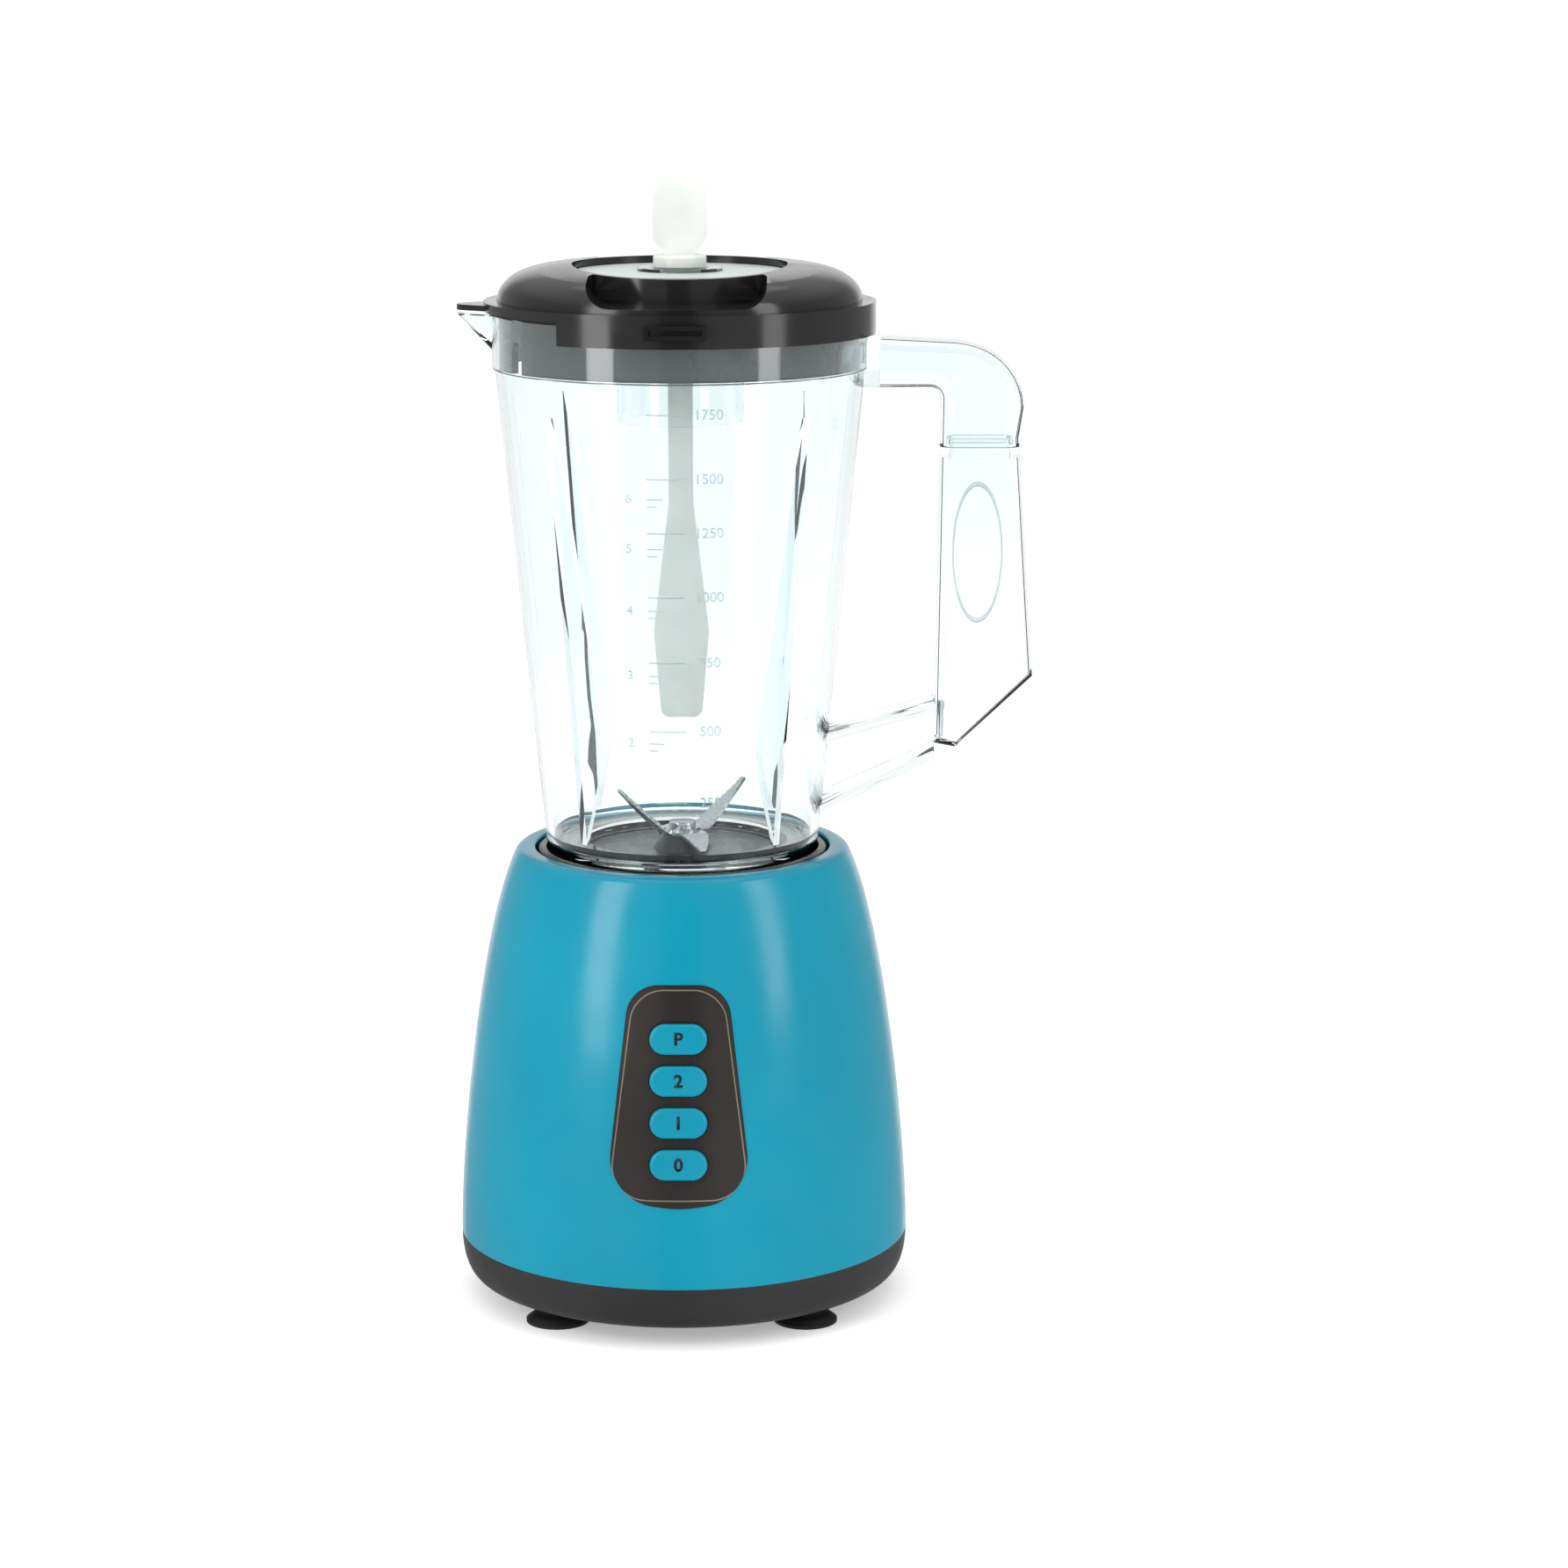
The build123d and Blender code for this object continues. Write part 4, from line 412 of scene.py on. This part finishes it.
reflected = sums("ADD", reflected, gap_light)
seen = sums("ADD", sums("MULTIPLY", ray.outputs["Is Camera Ray"], camera_extra), room_light)
seen = sums("ADD", seen, sums("MULTIPLY", ray.outputs["Is Transmission Ray"], clear_extra))
light_in = sums("ADD", sums("MULTIPLY", mirrored, reflected),
                sums("MULTIPLY", sums("SUBTRACT", 1.0, mirrored), seen))
links.new(light_in, nodes["Background"].inputs["Strength"])
nodes["Background"].inputs["Color"].default_value = (1, 1, 1, 1)
print("room nodes:", len(nodes))

# %% [markdown]
# ### The lamps
# Two tall soft lamps stand to the left and the right of the camera, which is how a round
# glossy body gets its two long highlights, and a wide one hangs over the blender.

# %% Three soft lamps
def lamp(name, place, aim, width, tall, power):
    """A soft rectangular lamp that points at a place."""
    bpy.ops.object.light_add(type="AREA", location=place)
    light = bpy.context.object
    light.name = name
    light.data.shape = "RECTANGLE"
    light.data.size = width
    light.data.size_y = tall
    light.data.energy = power
    light.rotation_euler = (Vector(aim) - Vector(place)).to_track_quat("-Z", "Y").to_euler()
    print(name, "gives", power, "W")


lamp("soft_left", (-1.1, -1.0, 0.7), (0, 0, 0.15), 0.5, 1.2, 9)
lamp("soft_right", (1.2, -0.8, 0.7), (0, 0, 0.15), 0.4, 1.1, 5)
lamp("soft_top", (0, 0.1, 1.8), (0, 0, 0.1), 1.6, 1.6, 7)

# %% [markdown]
# ### The camera
# The camera stands a metre and a half in front of the blender and looks down on it a little
# through a long lens, so that the jug's sides hardly lean.

# %% A camera with a long lens
camera_place, camera_tilt, lens_length = (0.038, -1.5358, 0.4999), 78.734, 96.24
bpy.ops.object.camera_add(location=camera_place, rotation=(radians(camera_tilt), 0, 0))
camera = bpy.context.object
camera.data.lens = lens_length
camera.data.sensor_width = 36.0
bpy.context.scene.camera = camera
bpy.context.scene.view_settings.view_transform = "Standard"
print("camera at", tuple(round(v, 3) for v in camera.location))

# %% [markdown]
# ## Carrying an engineering shape over
# Where the engineering shape is right but its mesh is faceted, the piece starts as a copy of
# that mesh.  The copy's loose triangles are merged; where its edges are to be rounded, flat
# areas are first dissolved into single faces and the edges bevelled; and the curved areas
# are shaded smooth.

# %% A finished copy of an engineering part
def carried(node, name, body, finish, angle=30, round_edges=0.0, steps=2):
    """Copies a node's mesh, merges it, softens it and lets the copy stand for the node."""
    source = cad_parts[node]
    piece = bpy.data.objects.new(name, source.data.copy())
    bpy.context.scene.collection.objects.link(piece)
    open_up(piece)
    bpy.ops.mesh.select_all(action="SELECT")
    bpy.ops.mesh.remove_doubles(threshold=0.000002)
    bpy.ops.mesh.customdata_custom_splitnormals_clear()
    if round_edges:
        bpy.ops.mesh.dissolve_limited(angle_limit=radians(1.0))
    bpy.ops.object.mode_set(mode="OBJECT")
    if round_edges:
        modify(piece, "BEVEL", width=round_edges, segments=steps, limit_method="ANGLE",
               angle_limit=radians(50), harden_normals=False, use_clamp_overlap=True)
    soften(piece, angle)
    piece.data.materials.clear()
    piece.data.materials.append(finish)
    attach(piece, body)
    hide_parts(node)
    return piece


print("ready to carry parts over")

# %% [markdown]
# ### The base
# The bell, the pan under it, the control panel and the feet are right as they are
# engineered.  A moulded edge is never sharp, but these copies are only merged and shaded
# smooth; their edges get no rounding.

# %% Carry the base's parts over
carried("base_housing", "housing_shell", "base", teal_gloss)
carried("bottom_cover", "base_pan", "base", trim_satin)
carried("jug_seat", "seat_well", "base", seat_satin)
carried("control_panel", "panel_face", "base", panel_gloss)
for corner in ("front_left", "front_right", "back_left", "back_right"):
    carried(f"foot_{corner}", f"suction_foot_{corner}", "base", rubber_soft, 40)
carried("cord_gland", "gland_collar", "base", rubber_soft, 40)
print("base parts carried over")

# %% [markdown]
# ### The jug and its handle
# The clear parts stay closed solids with a real wall, because light bends at each of their
# surfaces.  Smooth shading matters most here: every facet would show as a stripe.

# %% Carry the clear parts over
carried("jug", "jug_body", "jug", jug_clear)
carried("handle_arm", "arm_elbow", "jug", jug_clear, 40)
carried("handle_bridge", "bridge_plates", "jug", jug_clear, round_edges=0.0006)
carried("handle_grip", "grip_sleeve", "jug", jug_clear, 40)
carried("blade_base", "blade_socket", "jug", socket_gloss)
carried("measuring_cup", "cup_shell", "cup", cup_clear)
print("clear parts carried over")

# %% [markdown]
# ### The oval on the grip
# A fine raised line in the shape of an upright oval marks where the palm goes.  It is a thin
# ring, stretched to the oval and sunk by half of its thickness into the grip's front.

# %% An oval line on the front of the grip
oval_wide, oval_tall, line_thick = 17.9 * mm, 50.5 * mm, 0.3 * mm
oval_place = (109.0 * mm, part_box("handle_grip")[0].y, 282.6 * mm)
clear_desk()
bpy.ops.mesh.primitive_torus_add(
    major_radius=oval_wide / 2, minor_radius=line_thick, major_segments=128,
    minor_segments=10, location=oval_place, rotation=(radians(90), 0, 0))
oval = bpy.context.object
oval.name = "grip_oval"
settle(oval)
open_up(oval)
bpy.ops.mesh.select_all(action="SELECT")
bpy.ops.transform.resize(value=(1, 1, oval_tall / oval_wide), center_override=oval_place)
bpy.ops.transform.translate(value=(0, line_thick, 0))
bpy.ops.object.mode_set(mode="OBJECT")
soften(oval, 60)
oval.data.materials.append(mark_clear)
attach(oval, "jug")
print("oval:", len(oval.data.polygons), "faces")

# %% [markdown]
# ## Turning round shapes
# A turned shape starts as a circle of edges.  The ring is pushed along the axis and made
# wider or narrower step by step, as on a lathe, and the last ring is closed onto the first.

# %% A lathe made of extrude and resize
def lathe(name, outline, around=96, closed=False):
    """Turns (radius, height) points into a surface, from the first point to the last."""
    clear_desk()
    radius, level = outline[0]
    bpy.ops.mesh.primitive_circle_add(vertices=around, radius=radius, location=(0, 0, level))
    piece = bpy.context.object
    piece.name = name
    settle(piece)
    open_up(piece, "EDGE")
    bpy.ops.mesh.select_all(action="SELECT")
    for wider, higher in outline[1:] + outline[:1] * closed:
        bpy.ops.mesh.extrude_region_move(
            TRANSFORM_OT_translate={"value": (0, 0, higher - level)})
        bpy.ops.transform.resize(value=(wider / radius, wider / radius, 1),
                                 center_override=(0, 0, higher))
        radius, level = wider, higher
    bpy.ops.mesh.select_all(action="SELECT")
    bpy.ops.mesh.remove_doubles(threshold=0.000001)
    bpy.ops.mesh.normals_make_consistent(inside=False)
    bpy.ops.object.mode_set(mode="OBJECT")
    return piece


print("lathe ready")

# %% [markdown]
# ## The lid
# The lid is polished black with a dome, two hollows for the fingers and a skirt.  A rim
# round the cup stands full height at the back and dips to the level of the cup's plate at
# the front.  The rim is turned, joined to the dome, and both are planed off together by a
# slightly tilted cutter, so that the dip runs smoothly from the rim into the dome.

# %% A rim on the lid, planed off at a slant
crown_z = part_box("lid")[1].z
hollow_z, rim_z = crown_z - 12.1 * mm, crown_z - 0.02 * mm
rim_inner, rim_outer, plane_tilt, cutter_size = 39.45 * mm, 41.5 * mm, 0.07, 0.2
lid_shell = carried("lid", "lid_shell", "lid", lid_gloss)
rim = lathe("crown_rim", [(rim_inner, hollow_z), (rim_outer, hollow_z),
                          (rim_outer, rim_z), (rim_inner, rim_z)], 192, True)
modify(lid_shell, "BOOLEAN", operation="UNION", object=rim, solver="EXACT")
clear_desk()
bpy.ops.mesh.primitive_cube_add(size=cutter_size, location=(0, 0, cutter_size / 2))
wedge = bpy.context.object
settle(wedge)
wedge.rotation_euler = (plane_tilt, 0, 0)
wedge.location = (0, 0, crown_z)
settle(wedge)
modify(lid_shell, "BOOLEAN", operation="DIFFERENCE", object=wedge, solver="EXACT")
open_up(lid_shell)
bpy.ops.mesh.select_all(action="SELECT")
bpy.ops.mesh.remove_doubles(threshold=0.00001)
bpy.ops.object.mode_set(mode="OBJECT")
soften(lid_shell, 30)
for tool in (rim, wedge):
    bpy.data.objects.remove(tool)
print("lid:", len(lid_shell.data.polygons), "faces, materials", len(lid_shell.data.materials))

# %% [markdown]
# ### The top of the cup
# The cup is clear, and the plate round its boss looks pale because its top reflects the white
# room at a grazing angle.  That reflection is painted on as a pale satin colour.  A colour that
# is only on one side needs faces of its own, so it is a very thin turned ring on the plate.

# %% A ring with a painted reflection on the cup's plate
plate_top, boss_edge, plate_edge = crown_z - 2.7 * mm, 15.7 * mm, 38.4 * mm
reflection_ring_low, reflection_ring_high = plate_top - 0.03 * mm, plate_top + 0.04 * mm
reflection_ring = lathe("cup_plate_painted_reflection", [(boss_edge, reflection_ring_low), (plate_edge, reflection_ring_low),
                                  (plate_edge, reflection_ring_high), (boss_edge, reflection_ring_high)], 128, True)
soften(reflection_ring, 30)
# The ring's pale grey colour is a painted reflection of the white room on the plate's top.
plate_painted_reflection = moulded("plate_painted_reflection", screen(205, 212, 212), screen(194, 201, 201),
                      (0.3, 0.4), 800.0, 0.00001)
reflection_ring.data.materials.append(plate_painted_reflection)
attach(reflection_ring, "cup")
print("satin ring:", len(reflection_ring.data.polygons), "faces")

# %% [markdown]
# ### The plug and the stirrer
# The plug fills the jug's mouth under the lid.  The stirrer is a flat moulding whose edges
# are rounded all round, and three steps of rounding are enough at its size.

# %% Carry the plug and the stirrer over
carried("lid_plug", "plug_ring", "lid", plug_satin, round_edges=0.0004)
carried("stirrer", "stirrer_stick", "stirrer", stirrer_milk,
        round_edges=0.0009, steps=3)
print("plug and stirrer carried over")

# %% [markdown]
# ## Marks and numbers
# The jug has a scale moulded into its front: a long line with its volume beside it at every
# quarter of a litre, and shorter lines for cups.  The marks are pressed onto a turned cone
# that lies on the jug's wall.  The cone is only a guide and is thrown away afterwards.

# %% A cone on the jug's wall
foot_radius, foot_level = 50.8 * mm, 174.3 * mm
step_radius, step_level = 67.8 * mm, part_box("jug")[1].z - 20 * mm
jug_guide = lathe("jug_guide", [(foot_radius, foot_level), (step_radius, step_level)], 256)
print("guide for the marks on the jug:", len(jug_guide.data.polygons), "faces")

# %% [markdown]
# ### From flat marks to raised ones
# Each number starts as text and becomes a flat mesh that waits in front of the blender.  It
# is pressed on the guide from there and gets a thickness of a third of a millimetre.

# %% Lay flat marks on a curved surface
waiting_y = -0.2


def flat_text(words, size, x, z, y=waiting_y, tilt=0.0, bold=0.0):
    """Flat letters that face the front, centred at a place; bold widens their strokes."""
    clear_desk()
    bpy.ops.object.text_add(location=(x, y, z), rotation=(radians(90) - tilt, 0, 0))
    text = bpy.context.object
    text.data.body = words
    text.data.size = size
    text.data.offset = bold
    text.data.align_x = "CENTER"
    text.data.align_y = "CENTER"
    bpy.ops.object.convert(target="MESH")
    piece = bpy.context.object
    settle(piece)
    return piece


def flat_line(x_from, x_to, z, wide, parts=10):
    """A flat level bar that faces the front, divided so that it can bend."""
    clear_desk()
    bpy.ops.mesh.primitive_plane_add(size=1.0, location=((x_from + x_to) / 2, waiting_y, z),
                                     rotation=(radians(90), 0, 0))
    piece = bpy.context.object
    piece.scale = (x_to - x_from, wide, 1)
    settle(piece)
    open_up(piece, "EDGE")
    bpy.ops.mesh.select_all(action="SELECT")
    bpy.ops.mesh.subdivide(number_cuts=parts)
    bpy.ops.object.mode_set(mode="OBJECT")
    return piece


def lay_on(pieces, guide, name, thick, lift=0.00002):
    """Joins flat pieces, presses them onto a guide and gives them a thickness."""
    clear_desk()
    for piece in pieces:
        piece.select_set(True)
    bpy.context.view_layer.objects.active = pieces[0]
    bpy.ops.object.join()
    marks = bpy.context.object
    marks.name = name
    modify(marks, "SHRINKWRAP", target=guide, wrap_method="PROJECT", use_project_y=True,
           use_positive_direction=True, use_negative_direction=False, offset=-lift)
    modify(marks, "SOLIDIFY", thickness=thick, offset=1.0)
    soften(marks, 30)
    return marks


print("marks wait at y =", waiting_y)

# %% [markdown]
# ### The scale on the jug
# The jug gets wider upwards, so the lines stand closer together the higher they are.
# Every cup has a line with its number to the left, and a shorter line just below it.

# %% Lines and numbers at their levels, in millimetres
volume_levels = {250: 197.3, 500: 224.0, 750: 249.4, 1000: 273.4, 1250: 296.7,
                 1500: 316.2, 1750: 339.2}
cup_levels = {2: 219.5, 3: 244.6, 4: 268.5, 5: 291.0, 6: 309.0}
line_left, long_right, cup_right, half_right = -10.5 * mm, 3.0 * mm, -5.0 * mm, -7.0 * mm
line_wide, half_wide, half_drop = 0.35 * mm, 0.3 * mm, 2.6
volume_x, volume_size, cup_x, cup_size = 11.5 * mm, 5.2 * mm, -17.0 * mm, 4.6 * mm
flat = []
for volume, level in volume_levels.items():
    flat.append(flat_line(line_left, long_right, level * mm, line_wide))
    flat.append(flat_text(str(volume), volume_size, volume_x, level * mm))
for cups, level in cup_levels.items():
    flat.append(flat_line(line_left, cup_right, level * mm, line_wide))
    flat.append(flat_line(line_left, half_right, (level - half_drop) * mm, half_wide))
    flat.append(flat_text(str(cups), cup_size, cup_x, level * mm))
volume_scale = lay_on(flat, jug_guide, "volume_scale", 0.3 * mm)
volume_scale.data.materials.append(mark_clear)
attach(volume_scale, "jug")
bpy.data.objects.remove(jug_guide)
print("marks on the jug:", len(volume_scale.data.polygons), "faces")

# %% [markdown]
# ## The buttons
# Each button is a key in the panel, a little lower than its rim.  A black character is
# printed on it: a letter for pulse and the numbers of the speeds.  The four keys lean back
# with the panel, so the characters lean by the same angle.

# %% The ink of the characters
ink, nodes, links, shader = new_finish("button_ink")
links.new(between(nodes, links, noise(nodes, links, 900.0), screen(12, 14, 15),
                  screen(26, 28, 30)), shader.inputs["Base Color"])
links.new(spread(nodes, links, noise(nodes, links, 400.0), 0.4, 0.6),
          shader.inputs["Roughness"])
print("ink nodes:", len(nodes))

# %% [markdown]
# ### Keys and characters
# The place of a character is read from its key: the furthest point of the key's face gives
# how far out it is, and the middle of the face's points gives the row.

# %% Keys and their characters
lean = radians(7.18)
face_depth, sign_size, sign_bold, ink_thick = 4 * mm, 6.4 * mm, 0.22 * mm, 0.06 * mm
key_signs = {"pulse": "P", "speed_2": "2", "speed_1": "1", "stop": "0"}
for key, sign in key_signs.items():
    node = f"{key}_button"
    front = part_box(node)[0].y + face_depth
    carried(node, f"{key}_cap", f"{key}_key", button_gloss, 40)
    face = [v.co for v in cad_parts[node].data.vertices if v.co.y < front]
    top = max(face, key=lambda co: -co.y * cos(lean) + co.z * sin(lean))
    out = -top.y * cos(lean) + top.z * sin(lean)
    row = sum((co.y * sin(lean) + co.z * cos(lean)) for co in face) / len(face)
    y = -out * cos(lean) + row * sin(lean)
    z = out * sin(lean) + row * cos(lean)
    printed = flat_text(sign, sign_size, 0.0, z, y, lean, sign_bold)
    printed.name = f"{key}_sign"
    modify(printed, "SOLIDIFY", thickness=ink_thick, offset=1.0)
    printed.data.materials.append(ink)
    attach(printed, f"{key}_key")
    print(printed.name, "at y", round(y / mm, 1), "z", round(z / mm, 1))

# %% [markdown]
# ## The blades
# The blade set is two stampings: one bent up with saw teeth on its leading edges, one bent
# down that sweeps the floor.  A wing starts as a flat grid.  It is tapered to a point, its
# outer part is lifted, and every second point on one edge is pulled in to cut the teeth.

# %% A wing of a blade
columns, rows, sheet_thick = 26, 4, 1.1 * mm
root, wide, bend = 4.4 * mm, 10.4 * mm, 8.5 * mm
taper, taper_power, sweep, rise_power = 0.8, 1.4, 0.25, 1.15
tooth_deep, last_tooth = 0.9 * mm, 0.95


def wing(level, reach, rise, azimuth, teeth):
    """One wing from the hub out to its point, lifted by rise and turned to an azimuth."""
    clear_desk()
    bpy.ops.mesh.primitive_grid_add(x_subdivisions=columns, y_subdivisions=rows, size=1.0,
                                    location=((root + reach) / 2, 0, level))
    piece = bpy.context.object
    piece.scale = (reach - root, wide, 1)
    settle(piece)
    open_up(piece)
    pitch = (reach - root) / columns
    for column in range(columns + 1):
        x = root + column * pitch
        if x < bend:
            continue
        part = (x - bend) / (reach - bend)
        pick(piece, lambda co: abs(co.x - x) < pitch / 4)
        bpy.ops.transform.resize(value=(1, 1 - taper * part ** taper_power, 1),
                                 center_override=(x, -wide / 2, level))
        bpy.ops.transform.translate(
            value=(0, sweep * wide * part, rise * part ** rise_power))
        if teeth and column % 2 and part < last_tooth:
            edge = max(v.co.y for v in bmesh.from_edit_mesh(piece.data).verts
                       if abs(v.co.x - x) < pitch / 4)
            pick(piece, lambda co: abs(co.x - x) < pitch / 4 and co.y > edge - 0.1 * mm)
            bpy.ops.transform.translate(value=(0, -tooth_deep, 0))
    bpy.ops.object.mode_set(mode="OBJECT")
    modify(piece, "SOLIDIFY", thickness=sheet_thick, offset=1.0)
    piece.rotation_euler = (0, 0, radians(azimuth))
    settle(piece)
    return piece


print("a wing has", columns * rows, "faces before it gets its thickness")

# %% [markdown]
# ### Two stampings of two wings each
# Both wings of a stamping grow from a small ring round the shaft, so the ring is turned and
# the wings are joined to it.  The nut on top is right as it is engineered.

# %% Join wings to a ring
hub_inner, hub_outer, hub_thick = 4.1 * mm, 6.9 * mm, 1.15 * mm


def stamping(name, node, reach, level, rise, teeth, azimuths):
    """Joins wings to a ring round the shaft and lets the piece stand for its node."""
    node_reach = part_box(node)[1].x
    middle = lathe(f"{name}_hub", [(hub_inner, level), (hub_outer, level),
                                   (hub_outer, level + hub_thick),
                                   (hub_inner, level + hub_thick)], 64, True)
    parts = [wing(level, reach, rise, azimuth, teeth) for azimuth in azimuths]
    clear_desk()
    for part in parts + [middle]:
        part.select_set(True)
    bpy.context.view_layer.objects.active = middle
    bpy.ops.object.join()
    piece = bpy.context.object
    piece.name = name
    soften(piece, 30)
    piece.data.materials.append(blade_steel)
    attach(piece, "blade")
    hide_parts(node)
    print(name, "reaches", round(max(v.co.x for v in piece.data.vertices) / mm, 1), "mm,",
          "node", round(node_reach / mm, 1))


upper_low, upper_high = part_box("upper_blade")
lower_low, lower_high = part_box("lower_blade")
stamping("chopping_blade", "upper_blade", 26.5 * mm, upper_low.z,
         upper_high.z - upper_low.z - 1.3 * mm, True, (32, 212))
stamping("sweeping_blade", "lower_blade", 18.4 * mm, lower_high.z - 1.2 * mm,
         lower_low.z - lower_high.z + 1.3 * mm, False, (120, 300))
carried("blade_nut", "slotted_nut", "blade", blade_steel, 30)

# %% [markdown]
# ## The painted highlight round the control panel
# A thin pale strip runs just inside the panel's edge.  Its colour is a painted highlight: the
# line of light on the edge of the groove round the panel.  It starts as a plane that is pulled
# to a trapezium, gets round corners, is inset to a narrow strip and is pressed on the panel.

# %% A strip with a painted highlight on the panel
strip_middle, strip_top, strip_bottom = 94.2 * mm, 133.15 * mm, 56.9 * mm
top_half, bottom_half, top_round, bottom_round = 16.2 * mm, 25.9 * mm, 11.0 * mm, 14.0 * mm
near_top, near_bottom, strip_wide, strip_thick = 100 * mm, 60 * mm, 0.45 * mm, 0.12 * mm
clear_desk()
bpy.ops.mesh.primitive_plane_add(size=1.0, location=(0, waiting_y, strip_middle),
                                 rotation=(radians(90), 0, 0))
highlight_strip = bpy.context.object
highlight_strip.name = "panel_edge_highlight_strip"
settle(highlight_strip)
open_up(highlight_strip)
for side in (-1, 1):
    for level, half, end in ((strip_top, top_half, 1), (strip_bottom, bottom_half, -1)):
        pick(highlight_strip, lambda co: co.x * side > 0 and (co.z - strip_middle) * end > 50 * mm)
        corner = [v.co.copy() for v in bmesh.from_edit_mesh(highlight_strip.data).verts if v.select][0]
        bpy.ops.transform.translate(value=(side * half - corner.x, 0, level - corner.z))
pick(highlight_strip, lambda co: co.z > near_top)
bpy.ops.mesh.bevel(offset=top_round, segments=10, affect="VERTICES")
pick(highlight_strip, lambda co: co.z < near_bottom)
bpy.ops.mesh.bevel(offset=bottom_round, segments=12, affect="VERTICES")
bpy.ops.mesh.select_all(action="SELECT")
bpy.ops.mesh.select_mode(type="FACE")
bpy.ops.mesh.select_all(action="SELECT")
bpy.ops.mesh.inset(thickness=strip_wide, use_even_offset=True)
bpy.ops.mesh.delete(type="FACE")
bpy.ops.mesh.select_all(action="SELECT")
bpy.ops.mesh.subdivide(number_cuts=3)
bpy.ops.object.mode_set(mode="OBJECT")
panel_guide = bpy.data.objects.new("panel_guide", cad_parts["control_panel"].data.copy())
bpy.context.scene.collection.objects.link(panel_guide)
lay_on([highlight_strip], panel_guide, "panel_edge_highlight_strip", strip_thick)
bpy.data.objects.remove(panel_guide)
# The strip's pale colour is a painted highlight, the light line along the groove's edge.
panel_edge_painted_highlight = moulded("panel_edge_painted_highlight", screen(132, 118, 100), screen(112, 99, 84), (0.3, 0.4),
                    700.0, 0.000004)
highlight_strip.data.materials.append(panel_edge_painted_highlight)
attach(highlight_strip, "base")
print("bead:", len(highlight_strip.data.polygons), "faces")
